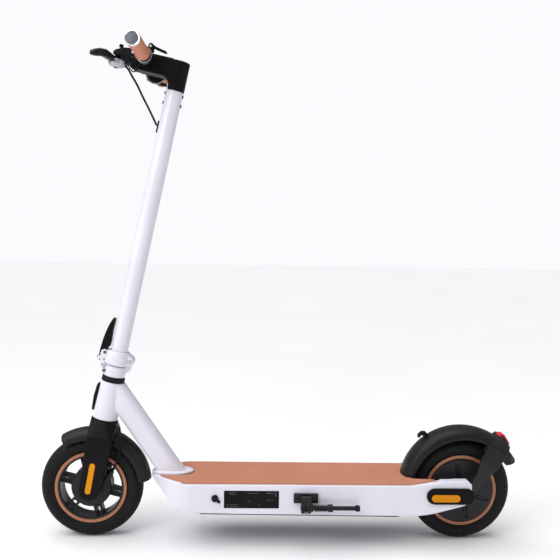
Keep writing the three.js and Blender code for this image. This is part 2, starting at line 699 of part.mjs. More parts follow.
const frontWheel = new THREE.Group();
frontWheel.position.set(TRAIL, 0, 0);
frontWheel.rotation.y = RAKE;
steering.add(frontWheel);
add(frontWheel, "front_rim", DARK_METAL, frontRim());
add(frontWheel, "front_tyre", RUBBER, tyre());

add(steering, "fork", DARK_METAL, fork());
addPair(steering, "fork_cover", BLACK, forkCover());
add(steering, "front_axle", STEEL, frontAxle());
add(steering, "front_fender", BLACK, frontFender());
add(steering, "headset_cover", BLACK, headsetCover());
add(steering, "brake_plate", DARK_METAL, brakePlate());
add(steering, "brake_arm", STEEL, brakeArm());
add(steering, "drum_cable", RUBBER, drumCable());
add(steering, "hinge_base", WHITE, hingeBase());
add(steering, "hinge_collar", WHITE, hingeCollar());
add(steering, "fold_pin", STEEL, foldPin());
add(steering, "latch_lever", BLACK, latchLever());
add(steering, "latch_link", WHITE, latchLink());
add(steering, "stem_tube", WHITE, stemTube());
add(steering, "head_shell", BLACK, headShell());
add(steering, "display", GLASS, display());
add(steering, "power_button", SILVER, powerButton());
add(steering, "headlight", CLEAR, headlight());
add(steering, "handlebar", BLACK, handlebar());
addPair(steering, "grip", GRIP, grip());
addPair(steering, "bar_end", CHROME, barEnd());
add(steering, "brake_perch", BLACK, brakePerch());
add(steering, "brake_lever", BLACK, brakeLever());
add(steering, "bell_dome", SILVER, bellDome());
add(steering, "bell_striker", BLACK, bellStriker());
add(steering, "thumb_housing", BLACK, thumbHousing());
add(steering, "thumb_lever", BLACK, thumbLever());
add(steering, "throttle_housing", BLACK, throttleHousing());
add(steering, "throttle_lever", BLACK, throttleLever());
add(steering, "brake_cable", RUBBER, brakeCable());

export default scooter;
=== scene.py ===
"""Electric kick scooter: the looks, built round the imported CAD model.

Shapes are drawn in millimetres in one of four places: the chassis (x from the middle of the wheelbase), the
steering axis (x forwards, z up the axis), and each wheel's axle. Pieces end up in metres, in the row frame.
"""
import json
import math

import bmesh
import bpy
from mathutils import Matrix, Vector


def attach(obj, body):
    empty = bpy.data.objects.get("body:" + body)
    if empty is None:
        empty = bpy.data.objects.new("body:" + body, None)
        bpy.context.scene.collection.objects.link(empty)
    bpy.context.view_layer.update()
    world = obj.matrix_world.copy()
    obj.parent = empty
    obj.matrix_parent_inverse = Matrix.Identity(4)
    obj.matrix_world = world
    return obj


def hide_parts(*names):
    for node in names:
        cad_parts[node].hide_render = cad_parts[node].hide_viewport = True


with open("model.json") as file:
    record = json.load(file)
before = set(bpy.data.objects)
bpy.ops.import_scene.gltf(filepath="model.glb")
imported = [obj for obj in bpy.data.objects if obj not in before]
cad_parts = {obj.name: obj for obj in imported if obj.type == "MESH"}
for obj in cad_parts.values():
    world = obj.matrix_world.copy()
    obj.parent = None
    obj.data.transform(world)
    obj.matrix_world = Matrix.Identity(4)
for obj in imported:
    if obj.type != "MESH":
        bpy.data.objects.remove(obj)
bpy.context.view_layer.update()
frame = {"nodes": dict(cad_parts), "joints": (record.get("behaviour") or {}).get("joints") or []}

# ---- driving dimensions, in millimetres ----
TYRE_R = 127
TYRE_HALF = 27
RIM_R = 90
TRAIL = -5.3  # front axle, behind the steering axis
STEM_R = 21
STEM_TOP = 1010
HEAD_HALF = 26
HEAD_TOP = 1071
BAR_X = 75
BAR_Z = 1054
BAR_R = 12
BAR_HALF = 234.2
GRIP_R = 17
GRIP_INNER = 104
DECK_TOP = 158
DECK_BOTTOM = 84
DECK_RISE = 4
DECK_HALF = 90
DECK_REAR = -308
ARM_IN = 66
ARM_OUT = 88
LEG_IN = 38
COVER_OUT = 62
TUBE_ANGLE = 0.963
FENDER_R = 157.5
REAR_AXLE = (-463.2, 127)  # from the middle of the wheelbase
FENDER_CENTRE = (REAR_AXLE[0] - 5, REAR_AXLE[1] + 2)
FLANGE = (262, 52.5, 30)  # centre x, half length and half width of the down tube's foot
STAND = (-68, 110, 111)
PORT = (150.6, 126)
FOLD = (-33, 327)
LATCH = (38, 321)
ARM_PIVOT = (-34, 14)
HUB_SLOTS = 6
SPOKES = 6
TREADS = 44
COIL_STEPS = 18  # points in one turn of the spring
CORE = 0.01  # the radius at which a turned solid closes on its axis
SOFT = 6  # steps in a rounded edge
QUARTER_STEPS = 4
BELL = (129, 94)
THROTTLE = (64, 1041)
FORK_LENS = (-4.6, COVER_OUT, 35)
FORK_LENS_LEAN = 1.6
FLOOR_REACH = 14
SUN_STRENGTH = 2.5
SUN_SPREAD = 75  # degrees across; a wide sun throws a soft shadow
SURROUND = {"Color": (0.93, 0.94, 1.0, 1), "Strength": 0.33}
BACKDROP = (0.957, 0.962, 0.985, 1)
CAMERA_AT = (0.05296, 1.84235, 0.77696)
CAMERA_TURN = (0.0249, -0.0689, 0.016)  # pan, dip and roll, in radians
CAMERA_LENS = 47.7


# ---- places ----
def placement(origin, forward):
    """Millimetres to metres, with x along forward, y across and z up from it."""
    up = Vector((-forward.z, 0, forward.x))
    turn = Matrix((forward, Vector((0, 1, 0)), up)).transposed().to_4x4()
    return Matrix.Translation(origin) @ turn @ Matrix.Scale(0.001, 4)


JOINTS = {joint["name"]: joint for joint in frame["joints"]}
LEVEL = Vector((1, 0, 0))
STEER_UP = Vector(JOINTS["steering"]["axis"])
STEER_FORWARD = Vector((STEER_UP.z, 0, -STEER_UP.x))
FRONT_AXLE = Vector(JOINTS["front_wheel_spin"]["pos_m"])
REAR_AXLE_AT = Vector(JOINTS["rear_wheel_spin"]["pos_m"])
CHASSIS = placement(Vector(((FRONT_AXLE.x + REAR_AXLE_AT.x) / 2, 0, 0)), LEVEL)
STEERING = placement(FRONT_AXLE - STEER_FORWARD * TRAIL * 0.001, STEER_FORWARD)
FRONT_WHEEL = placement(FRONT_AXLE, LEVEL)
REAR_WHEEL = placement(REAR_AXLE_AT, LEVEL)
ON_FRAME = (CHASSIS, "frame")
ON_FORK = (STEERING, "fork")
ON_STEM = (STEERING, "stem")


# ---- outlines: lists of (a, b) points ----
def arc(cx, cy, r, start, stop, steps=8):
    """Points on an arc, angles in degrees."""
    angles = [math.radians(start + (stop - start) * i / steps) for i in range(steps + 1)]
    return [(cx + r * math.cos(a), cy + r * math.sin(a)) for a in angles]


def ring_of(r, sides):
    return arc(0, 0, r, 0, 360, sides)[:-1]


def ellipse(cx, rx, ry, start, stop, steps=24):
    angles = [math.radians(start + (stop - start) * i / steps) for i in range(steps + 1)]
    return [(cx + rx * math.cos(a), ry * math.sin(a)) for a in angles]


def rounded(points, radius, steps=5):
    """A closed outline with each corner rounded."""
    out = []
    count = len(points)
    for i, corner in enumerate(points):
        p = Vector(corner)
        before = Vector(points[i - 1]) - p
        after = Vector(points[(i + 1) % count]) - p
        reach = min(radius, before.length * 0.45, after.length * 0.45)
        start = p + before.normalized() * reach
        stop = p + after.normalized() * reach
        for k in range(steps + 1):
            t = k / steps
            out.append(tuple(start * (1 - t) ** 2 + p * 2 * t * (1 - t) + stop * t * t))
    return out


def softened(points, radius):
    """An open line of points with each inner corner rounded."""
    steps = 4
    return [points[0]] + rounded(points, radius, steps)[steps + 1:-steps - 1] + [points[-1]]


def mirrored(half):
    """The half of a plan at b > 0, and its mirror image."""
    return half + [(a, -b) for a, b in reversed(half)]


def box(a0, a1, b0, b1):
    return [(a0, b0), (a1, b0), (a1, b1), (a0, b1)]


def stadium(x0, x1, z0, z1, steps=14):
    r = (z1 - z0) / 2
    mid = (z0 + z1) / 2
    return arc(x1 - r, mid, r, -90, 90, steps) + arc(x0 + r, mid, r, 90, 270, steps)


def inset(points, distance):
    """The outline moved in by distance, whichever way round it runs."""
    count = len(points)
    area = sum(points[i - 1][0] * points[i][1] - points[i][0] * points[i - 1][1] for i in range(count))
    side = 1 if area > 0 else -1
    out = []
    for i in range(count):
        p = Vector(points[i])
        before = p - Vector(points[i - 1])
        after = Vector(points[(i + 1) % count]) - p
        if before.length < 1e-6:
            before = after
        if after.length < 1e-6:
            after = before
        n1 = Vector((-before.y, before.x)).normalized()
        n2 = Vector((-after.y, after.x)).normalized()
        middle = n1 + n2
        middle = middle.normalized() if middle.length > 1e-6 else n1
        reach = distance / max(0.5, middle.dot(n1))
        out.append(tuple(p + middle * reach * side))
    return out


# ---- shapes: (vertices, faces) in millimetres ----
def joined(*shapes):
    verts, faces = [], []
    for v, f in shapes:
        start = len(verts)
        verts += v
        faces += [tuple(i + start for i in face) for face in f]
    return verts, faces


def moved(shape, matrix):
    return [tuple(matrix @ Vector(v)) for v in shape[0]], shape[1]


def shifted(shape, x=0.0, y=0.0, z=0.0):
    return moved(shape, Matrix.Translation((x, y, z)))


def at(shape, point):
    """The shape moved to a point of the side view."""
    return shifted(shape, point[0], 0, point[1])


def turned(shape, degrees, axis):
    return moved(shape, Matrix.Rotation(math.radians(degrees), 4, axis))


def flipped(shape):
    """The mirror image across the middle plane."""
    return [(x, -y, z) for x, y, z in shape[0]], [tuple(reversed(f)) for f in shape[1]]


def both(shape):
    return joined(shape, flipped(shape))


def loft(rings, closed=False):
    """A skin over rings of equal count, capped at both ends unless it closes on itself."""
    count = len(rings[0])
    verts = [tuple(v) for ring in rings for v in ring]
    faces = []
    last = len(rings) if closed else len(rings) - 1
    for i in range(last):
        a, b = i * count, (i + 1) % len(rings) * count
        for k in range(count):
            n = (k + 1) % count
            faces.append((a + k, a + n, b + n, b + k))
    if not closed:
        faces.append(tuple(range(count))[::-1])
        faces.append(tuple((len(rings) - 1) * count + k for k in range(count)))
    return verts, faces


PLANES = {
    "xz": lambda a, b, h: (a, h, b),
    "xy": lambda a, b, h: (a, b, h),
    "yz": lambda a, b, h: (h, a, b),
}


def plate(points, lo, hi, plane="xz", edge=1.0, foot=None):
    """An outline with a thickness from lo to hi and rounded edges; foot is the lower edge's radius."""
    put = PLANES[plane]
    foot = edge if foot is None else foot
    rings = []
    for k in range(SOFT + 1):
        a = math.radians(90 * k / SOFT)
        ring = inset(points, foot * (1 - math.sin(a))) if foot else points
        rings.append([put(p, q, lo + foot * (1 - math.cos(a))) for p, q in ring])
        if not foot:
            break
    for k in range(SOFT + 1):
        a = math.radians(90 * k / SOFT)
        ring = inset(points, edge * (1 - math.cos(a))) if edge else points
        rings.append([put(p, q, hi - edge * (1 - math.sin(a))) for p, q in ring])
        if not edge:
            break
    return loft(rings)


def slab(points, corner, lo, hi, edge):
    """A plate in the side view with rounded corners as well as edges."""
    return plate(rounded(points, corner), lo, hi, edge=edge)


def lathe(profile, sides=64, axis="z", start=0.0, stop=360.0):
    """A closed profile of (radius, height) turned about z or y, all the way or from start to stop."""
    whole = stop - start >= 360
    steps = sides if whole else sides + 1
    rings = []
    for i in range(steps):
        a = math.radians(start + (stop - start) * i / sides)
        if axis == "z":
            rings.append([(r * math.cos(a), r * math.sin(a), h) for r, h in profile])
        else:
            rings.append([(r * math.cos(a), h, r * math.sin(a)) for r, h in profile])
    return loft(rings, closed=whole)


def disc(r, lo, hi, edge=0.8, axis="y", sides=40, bore=0.0):
    """A round button or boss with soft rims, or a ring if it has a bore."""
    inner = bore if bore else CORE
    profile = [(inner, lo)]
    profile += [(r - edge + edge * math.sin(a), lo + edge - edge * math.cos(a)) for a in quarter()]
    profile += [(r - edge + edge * math.cos(a), hi - edge + edge * math.sin(a)) for a in quarter()]
    profile.append((inner, hi))
    return lathe(profile, sides, axis)


def quarter():
    return [math.radians(90 * k / QUARTER_STEPS) for k in range(QUARTER_STEPS + 1)]


def smooth_path(points, steps=10):
    """A Catmull-Rom curve through the points."""
    p = [Vector(q) for q in points]
    p = [p[0] * 2 - p[1]] + p + [p[-1] * 2 - p[-2]]
    out = []
    for i in range(1, len(p) - 2):
        for k in range(steps):
            t = k / steps
            a, b, c, d = p[i - 1], p[i], p[i + 1], p[i + 2]
            out.append(0.5 * (2 * b + (c - a) * t + (2 * a - 5 * b + 4 * c - d) * t * t +
                    (3 * b - a - 3 * c + d) * t ** 3))
    out.append(p[-2])
    return out


def sweep(path, radius, sides=14):
    """A round bar along a path."""
    rings = []
    side = None
    for i, point in enumerate(path):
        ahead = path[min(i + 1, len(path) - 1)]
        behind = path[max(i - 1, 0)]
        way = (ahead - behind).normalized()
        if side is None:
            side = way.orthogonal().normalized()
        side = (side - way * side.dot(way)).normalized()
        other = way.cross(side)
        ring = []
        for k in range(sides):
            a = 2 * math.pi * k / sides
            ring.append(tuple(point + side * radius * math.cos(a) + other * radius * math.sin(a)))
        rings.append(ring)
    return loft(rings)


def helix(x0, x1, y, z, radius, turns, wire):
    """A coil spring along x."""
    count = int(turns * COIL_STEPS)
    path = []
    for i in range(count + 1):
        a = 2 * math.pi * turns * i / count
        path.append(Vector((x0 + (x1 - x0) * i / count, y + radius * math.cos(a),
                z + radius * math.sin(a))))
    return sweep(path, wire, 8)


# ---- Blender's own mesh tools, used on shapes ----
def object_from(shape, name="work"):
    mesh = bpy.data.meshes.new(name)
    mesh.from_pydata(shape[0], [], shape[1])
    work = bmesh.new()
    work.from_mesh(mesh)
    bmesh.ops.remove_doubles(work, verts=work.verts, dist=1e-4)
    bmesh.ops.recalc_face_normals(work, faces=work.faces)
    work.to_mesh(mesh)
    work.free()
    made = bpy.data.objects.new(name, mesh)
    bpy.context.scene.collection.objects.link(made)
    return made


def taken_shape(made, *others):
    """An object's mesh with its modifiers applied, as a shape; the objects are deleted."""
    graph = bpy.context.evaluated_depsgraph_get()
    result = made.evaluated_get(graph)
    mesh = result.to_mesh()
    shape = [tuple(v.co) for v in mesh.vertices], [tuple(p.vertices) for p in mesh.polygons]
    result.to_mesh_clear()
    for gone in (made, *others):
        data = gone.data
        bpy.data.objects.remove(gone)
        bpy.data.meshes.remove(data)
    return shape


def carved(shape, *cutters, operation="DIFFERENCE"):
    made = object_from(shape)
    tools = [object_from(cutter, "tool") for cutter in cutters]
    for tool in tools:
        step = made.modifiers.new("cut", "BOOLEAN")
        step.object = tool
        step.operation = operation
        step.solver = "EXACT"
    return taken_shape(made, *tools)


def shared(first, second):
    return carved(first, second, operation="INTERSECT")


def hull(points):
    """The convex solid round a set of points."""
    work = bmesh.new()
    for point in points:
        work.verts.new(point)
    bmesh.ops.convex_hull(work, input=work.verts)
    loose = [v for v in work.verts if not v.link_faces]
    bmesh.ops.delete(work, geom=loose, context="VERTS")
    work.verts.index_update()
    shape = [tuple(v.co) for v in work.verts], [tuple(v.index for v in f.verts) for f in work.faces]
    work.free()
    return shape


def fused(shape, voxel, rounds):
    """One smooth casting: overlapping closed shapes become a single skin with small fillets."""
    made = object_from(shape)
    skin = made.modifiers.new("skin", "REMESH")
    skin.mode = "VOXEL"
    skin.voxel_size = voxel
    soften = made.modifiers.new("soften", "SMOOTH")
    soften.iterations = rounds
    soften.factor = 0.5
    return taken_shape(made)


# ---- materials ----
def dial(node, **values):
    """Sets a node's inputs; an underscore in a name stands for a space."""
    for name, value in values.items():
        node.inputs[name.replace("_", " ")].default_value = value


def noise(nodes, links, coords, scale, detail):
    made = nodes.new("ShaderNodeTexNoise")
    dial(made, Scale=scale, Detail=detail, Roughness=0.55)
    links.new(coords.outputs["Object"], made.inputs["Vector"])
    return made


def spread(nodes, links, source, low, high):
    made = nodes.new("ShaderNodeMapRange")
    dial(made, From_Min=0.3, From_Max=0.7, To_Min=low, To_Max=high)
    links.new(source, made.inputs["Value"])
    return made.outputs["Result"]


def sum_or_product(nodes, operation):
    made = nodes.new("ShaderNodeMath")
    made.operation = operation
    made.use_clamp = True
    return made


def material(name, dark, light, rough, metal=0.0, grain=900.0, depth=0.08, patch=14.0, coat=0.0,
    stretch=None, fleck=0.0, specular=0.5):
    """A moulded, painted or cast finish: two shades in patches, a fine grain, a wandering roughness."""
    made = bpy.data.materials.new(name)
    made.use_nodes = True
    nodes, links = made.node_tree.nodes, made.node_tree.links
    shader = nodes["Principled BSDF"]
    coords = nodes.new("ShaderNodeTexCoord")
    patches = noise(nodes, links, coords, patch, 3.0)
    fine = noise(nodes, links, coords, grain, 2.0)
    if stretch:
        mapping = nodes.new("ShaderNodeMapping")
        dial(mapping, Scale=stretch)
        links.new(coords.outputs["Object"], mapping.inputs["Vector"])
        links.new(mapping.outputs["Vector"], fine.inputs["Vector"])
    mix = nodes.new("ShaderNodeMix")
    mix.data_type = "RGBA"
    dial(mix, A=(*dark, 1), B=(*light, 1))
    tone = spread(nodes, links, patches.outputs["Fac"], 0.0, 1.0)
    if fleck:
        speck = spread(nodes, links, fine.outputs["Fac"], -fleck, fleck)
        total = sum_or_product(nodes, "ADD")
        links.new(tone, total.inputs[0])
        links.new(speck, total.inputs[1])
        tone = total.outputs["Value"]
    links.new(tone, mix.inputs["Factor"])
    links.new(mix.outputs["Result"], shader.inputs["Base Color"])
    links.new(spread(nodes, links, patches.outputs["Fac"], rough - 0.04, rough + 0.05),
            shader.inputs["Roughness"])
    bump = nodes.new("ShaderNodeBump")
    dial(bump, Strength=depth, Distance=0.0004)
    links.new(fine.outputs["Fac"], bump.inputs["Height"])
    links.new(bump.outputs["Normal"], shader.inputs["Normal"])
    dial(shader, Metallic=metal, Specular_IOR_Level=specular, Coat_Weight=coat, Coat_Roughness=0.12)
    return made


def reflector(name, dark, light):
    """A moulded reflector: clear coloured plastic over small prisms."""
    made = material(name, dark, light, 0.3, grain=60.0, depth=0.0, patch=26.0, coat=0.05, specular=0.12)
    nodes, links = made.node_tree.nodes, made.node_tree.links
    coords = nodes["Texture Coordinate"]
    cells = nodes.new("ShaderNodeTexVoronoi")
    dial(cells, Scale=420.0, Randomness=0.15)
    links.new(coords.outputs["Object"], cells.inputs["Vector"])
    bump = nodes["Bump"]
    dial(bump, Strength=0.7, Distance=0.0012)
    links.new(cells.outputs["Distance"], bump.inputs["Height"])
    mix = nodes["Mix"]
    total = sum_or_product(nodes, "MULTIPLY")
    total.inputs[1].default_value = 1.5
    links.new(cells.outputs["Distance"], total.inputs[0])
    links.new(total.outputs["Value"], mix.inputs["Factor"])
    return made


PAINT = material("white satin paint", (0.70, 0.69, 0.765), (0.75, 0.74, 0.81), 0.34, grain=1400.0,
    depth=0.03, patch=7.0, coat=0.25)
PLASTIC = material("black moulded plastic", (0.0035, 0.0035, 0.0045), (0.0065, 0.0065, 0.0075), 0.46,
    grain=2200.0, depth=0.16, specular=0.1)
FENDER = material("dark mudguard plastic", (0.0065, 0.0065, 0.0075), (0.0105, 0.0105, 0.0115), 0.42,
    grain=1800.0, depth=0.2, specular=0.24)
METAL = material("black coated metal", (0.006, 0.006, 0.007), (0.012, 0.012, 0.013), 0.32, 0.15, 1500.0,
    0.12, specular=0.3)
HUB = material("hub cover", (0.011, 0.011, 0.0125), (0.018, 0.018, 0.020), 0.40, 0.15, 1700.0, 0.15,
    specular=0.28)
RUBBER = material("tyre rubber", (0.0055, 0.0055, 0.006), (0.0105, 0.0105, 0.011), 0.6, grain=1300.0,
    depth=0.3, fleck=0.4, specular=0.16)
SOFT_RUBBER = material("soft black rubber", (0.005, 0.005, 0.006), (0.009, 0.009, 0.010), 0.6, grain=1900.0,
    depth=0.2, specular=0.2)
MAT = material("copper rubber mat", (0.46, 0.195, 0.118), (0.52, 0.225, 0.14), 0.74, grain=1600.0,
    depth=0.5, patch=9.0, fleck=0.5, specular=0.2)
GRIP = material("copper grip rubber", (0.48, 0.175, 0.10), (0.55, 0.21, 0.13), 0.6, grain=1700.0, depth=0.3,
    patch=30.0, fleck=0.3, specular=0.3)
RIM_COPPER = material("copper lacquer", (0.34, 0.135, 0.07), (0.41, 0.165, 0.088), 0.38, 0.15, 1500.0, 0.08,
    patch=30.0, coat=0.15, specular=0.3)
STEEL = material("steel", (0.48, 0.48, 0.49), (0.62, 0.62, 0.63), 0.28, 1.0, 700.0, 0.1, stretch=(1, 12, 1))
CHROME = material("chrome", (0.72, 0.72, 0.74), (0.80, 0.80, 0.81), 0.10, 1.0, 900.0, 0.02, patch=40.0)
SILVER = material("silver lacquer", (0.36, 0.37, 0.40), (0.46, 0.47, 0.50), 0.30, 0.7, 1500.0, 0.08,
    patch=40.0)
BRASS = material("brass", (0.17, 0.135, 0.085), (0.26, 0.21, 0.13), 0.34, 1.0, 800.0, 0.08, patch=60.0)
SLATE = material("blue grey plastic", (0.085, 0.095, 0.125), (0.12, 0.13, 0.165), 0.40, 0.2, 1800.0, 0.12,
    patch=40.0)
LABEL = material("black label film", (0.0045, 0.0045, 0.0055), (0.0075, 0.0075, 0.0085), 0.42, grain=1800.0,
    depth=0.05, specular=0.1)
PRINT = material("grey print", (0.045, 0.045, 0.05), (0.075, 0.075, 0.08), 0.5, grain=1800.0, depth=0.05)
GLASS = material("display glass", (0.008, 0.009, 0.012), (0.014, 0.015, 0.019), 0.08, grain=900.0,
    depth=0.01, coat=0.8)
LENS = material("headlight lens", (0.52, 0.54, 0.57), (0.70, 0.72, 0.75), 0.12, grain=420.0, depth=0.25,
    patch=60.0, coat=0.8)
COVER = material("underside cover", (0.055, 0.056, 0.075), (0.085, 0.087, 0.11), 0.5, grain=1500.0,
    depth=0.2)
AMBER = reflector("amber reflector", (0.40, 0.12, 0.001), (0.76, 0.28, 0.002))
RED = reflector("red lens", (0.42, 0.008, 0.010), (0.85, 0.03, 0.035))
BLACK_REFLECTOR = reflector("dark reflector", (0.008, 0.008, 0.010), (0.03, 0.03, 0.034))


# ---- pieces ----
CAST = {"sharp": 60, "weighted": False}  # how a fused piece is shaded
CAST_WHITE = {"sharp": 50, "weighted": False}


def piece(name, shape, place, body, finish, replaces=(), sharp=32, weighted=True):
    """A finished object in its place: shaded smooth up to the sharp angle, riding on its body."""
    made = object_from(shape, name)
    made.data.transform(place)
    for face in made.data.polygons:
        face.use_smooth = True
    made.data.set_sharp_from_angle(angle=math.radians(sharp))
    made.data.materials.append(finish)
    if weighted:
        made.modifiers.new("even shading", "WEIGHTED_NORMAL").keep_sharp = True
    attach(made, body)
    if replaces:
        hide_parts(*replaces)
    return made


def repaint(finish, *names):
    """A CAD node that shows as it is, with a detailed finish."""
    for name in names:
        data = frame["nodes"][name].data
        data.materials.clear()
        data.materials.append(finish)


def screw(x, z, y, r, depth=1.2):
    """A socket screw's head in a side face, facing out along y."""
    head = disc(r, 0, depth, 0.35, sides=20)
    socket = loft([[(0.5 * r * math.cos(math.radians(60 * k)), h, 0.5 * r * math.sin(math.radians(60 * k)))
            for k in range(6)] for h in (depth - 0.7, depth + 1)])
    return shifted(carved(head, socket), x, y, z)


# ---- head tube and down tube ----
TUBE_HALF = [(-152, 12), (-148, 19), (-139, 23), (-107, 24), (-99.5, 17.5), (-94.5, 8)]


def tube_frame():
    """Chassis coordinates to the down tube's own: across, sideways, along."""
    along = Vector((math.cos(TUBE_ANGLE), 0, math.sin(TUBE_ANGLE)))
    across = Vector((-along.z, 0, along.x))
    return Matrix((across, Vector((0, 1, 0)), along)).transposed().to_4x4()


def to_chassis(shape):
    """A shape drawn on the steering axis, in chassis coordinates."""
    return moved(shape, CHASSIS.inverted() @ STEERING)


def front_frame():
    section = rounded(mirrored(TUBE_HALF), 5, 5)
    tube = moved(loft([[(n, y, 40) for n, y in section], [(n, y, 600) for n, y in section]]), tube_frame())
    above = plate(box(-400, 500, DECK_TOP + 5, 700), -80, 80, edge=0)
    tube = shared(tube, above)
    room = to_chassis(lathe([(CORE, 90), (31, 90), (31, 173), (29, 268.5), (90, 268.5), (90, 800),
            (CORE, 800)], 64))
    ahead = to_chassis(plate(box(0, 400, 0, 900), -90, 90, edge=0))
    tube = carved(tube, room, ahead)
    head = to_chassis(lathe(rounded([(15, 173), (31.5, 173), (31.1, 190), (28.7, 262), (28.5, 269),
            (15, 269)], 1.6), 72))
    cx, rx, ry = FLANGE
    foot = plate(ellipse(cx, rx, ry, 0, 360, 72)[:-1], DECK_TOP + 4, DECK_TOP + 10, "xy", edge=3.4,
            foot=0.6)
    whole = fused(joined(tube, head, foot), 1.5, 8)
    bore = to_chassis(lathe([(CORE, 150), (23, 150), (23, 182), (19, 182), (19, 260), (23, 260), (23, 300),
            (CORE, 300)], 48))
    whole = carved(whole, bore)
    piece("front_frame", whole, *ON_FRAME, PAINT, ("head_tube", "down_tube"), **CAST_WHITE)


def reflector_strip():
    base = slab([(26, 189), (35.4, 189), (37, 223), (34.6, 257), (26, 257)], 1.5, -10, 10, 1.4)
    strip = slab([(28, 194), (36.6, 194), (38.2, 223), (36, 252), (28, 252)], 1.2, -7.6, 7.6, 1.2)
    piece("front_reflector_frame", base, STEERING, "frame", PLASTIC)
    piece("front_reflector_strip", strip, STEERING, "frame", BLACK_REFLECTOR, ("front_reflector",))


# ---- deck ----
DECK_PLAN = [(DECK_REAR, 88), (-300, DECK_HALF), (215, DECK_HALF), (238, 85), (268, 64), (292, 40),
    (308, 20), (314, 6)]
DECK_SIDE = [(DECK_REAR - 20, 84), (199, 88), (211, 91.5), (222, 94.5), (250, 102), (306, 148), (314, 154),
    (314, 161.7), (236, 161.7), (229, 158), (DECK_REAR - 20, 158)]
ARM_SIDE = [(-290, 84), (-341, 84), (-380, 89), (-452, 108), (-466, 114), (-474, 126), (-475, 140),
    (-474, 162), (-463, 172), (-398, 170), (-397, 167), (-378, 166.5), (-345, 161), (-325, 158),
    (-290, 158)]


def deck_shell():
    """Tray and rear arms, one casting with softly rounded edges."""
    body = shared(plate(DECK_SIDE, -100, 100, edge=0), plate(mirrored(DECK_PLAN), 50, 200, "xy", edge=0))
    arm = plate(ARM_SIDE, ARM_IN, DECK_HALF, edge=0)
    taper = plate([(-290, 60), (-290, DECK_HALF), (-340, DECK_HALF), (-420, ARM_OUT), (-480, ARM_OUT),
            (-480, 60)], 60, 190, "xy", edge=0)
    arm = shared(arm, taper)
    whole = fused(joined(body, arm, flipped(arm)), 1.9, 5)
    inside = plate(box(-294, 186, 0, DECK_TOP - 5), -80, 80, edge=0)
    port = at(disc(8.2, 78, 100, 0.2), PORT)
    axle = at(disc(6.3, -120, 120, 0.2), REAR_AXLE)
    whole = carved(whole, inside, port, axle)
    piece("deck_shell", whole, *ON_FRAME, PAINT, ("deck_tray", "rear_arm_left", "rear_arm_right"),
            **CAST_WHITE)


def mat_plan():
    cx, rx, ry = FLANGE
    rear = [(-318, 0), (-320, 14), (-326, 30), (-338, 46), (-356, 60), (-374, 69), (-386, 73.5),
            (-383, 77.5), (-366, 79)]
    side = [(-320, 80.5), (60, 81), (212, 82.5), (228, 82), (243, 77.5), (262, 62), (276, 50.5), (289, 38),
            (290, 32)]
    return softened(rear + side, 5) + ellipse(cx, rx + 1, ry + 1, 55, 180, 24)


def mat_lift(x):
    """How far the mat rises at the rear, where it lies on the arms."""
    if x > -322:
        return 0.0
    t = min(1.0, (-322 - x) / 56)
    return 8.6 * t * t * (3 - 2 * t) * 0.62 + 3.2 * t


def deck_mat():
    half = mat_plan()
    outline = half + [(x, -y) for x, y in reversed(half) if y > 0.01]
    shape = plate(outline, DECK_TOP - 0.5, DECK_TOP + 4.2, "xy", edge=1.6, foot=0)
    shape = sliced(shape, [-322 - 6 * k for k in range(11)])
    verts = [(x, y, z + mat_lift(x)) for x, y, z in shape[0]]
    piece("foot_mat", (verts, shape[1]), *ON_FRAME, MAT, ("deck_mat",), sharp=40)


def sliced(shape, cuts):
    """The shape with an edge loop at each x, so that it can bend there."""
    work = bmesh.new()
    made = object_from(shape)
    work.from_mesh(made.data)
    for x in cuts:
        everything = list(work.verts) + list(work.edges) + list(work.faces)
        bmesh.ops.bisect_plane(work, geom=everything, plane_co=(x, 0, 0), plane_no=(1, 0, 0))
    work.to_mesh(made.data)
    work.free()
    return taken_shape(made)


def under_cover():
    plan = rounded(mirrored([(-303, 76), (-296, 83), (185, 83), (199, 70)]), 3)
    shape = plate(plan, 0, 4.4, "xy", edge=0.4, foot=1.5)
    verts = []
    for x, y, z in shape[0]:
        verts.append((x, y, z + DECK_BOTTOM - 4.7 + DECK_RISE * (x + 303) / 502))
    piece("underside_cover", (verts, shape[1]), *ON_FRAME, COVER, ("bottom_cover",))


def label_plate():
    """A blank black plate on the left side, with a few plain printed blocks."""
    outline = rounded(box(-4, 129, 102, 145), 2.5)
    piece("side_label", plate(outline, DECK_HALF - 0.6, DECK_HALF + 0.7, edge=0.4), *ON_FRAME, LABEL)
    bars = []
    for x0, x1, z0, z1 in ((102, 118, 139.5, 141), (99, 116, 135.5, 137), (44, 73, 138.6, 140),
            (66, 72, 119, 120.4), (42, 46, 111, 112.4), (10, 26, 138, 140.6), (3, 5.4, 131, 142),
            (8, 28, 122, 123), (118, 122, 110.4, 112.4), (94, 115, 110.6, 112), (118, 122, 105, 107),
            (92, 115, 105.4, 106.8)):
        bars.append(plate(box(x0, x1, z0, z1), DECK_HALF + 0.6, DECK_HALF + 0.82, edge=0))
    piece("side_label_blocks", joined(*bars), *ON_FRAME, PRINT, weighted=False)


def charge_parts():
    x, z = PORT
    ring = at(disc(8, 79, 91.5, 0.5, bore=5.4), PORT)
    floor = at(disc(5.4, 79, 81, 0.2), PORT)
    pins = [shifted(disc(1.1, 80, 88, 0.4, sides=16), x + dx, 0, z) for dx in (-2.4, 2.4)]
    piece("charge_socket", joined(ring, floor, *pins), *ON_FRAME, PLASTIC, ("charge_port",))
    cap = at(disc(8.6, 91.8, 94.6, 1.0), PORT)
    rim = at(disc(5.6, 94.2, 95.2, 0.4, bore=4.4), PORT)
    tab = slab([(136, 118), (141, 113), (150, 121), (145, 127)], 2, 91.8, 93.6, 0.6)
    piece("charge_flap", fused(joined(cap, rim, tab), 0.45, 3), CHASSIS, "charge_cap", SOFT_RUBBER,
            ("charge_cap",))


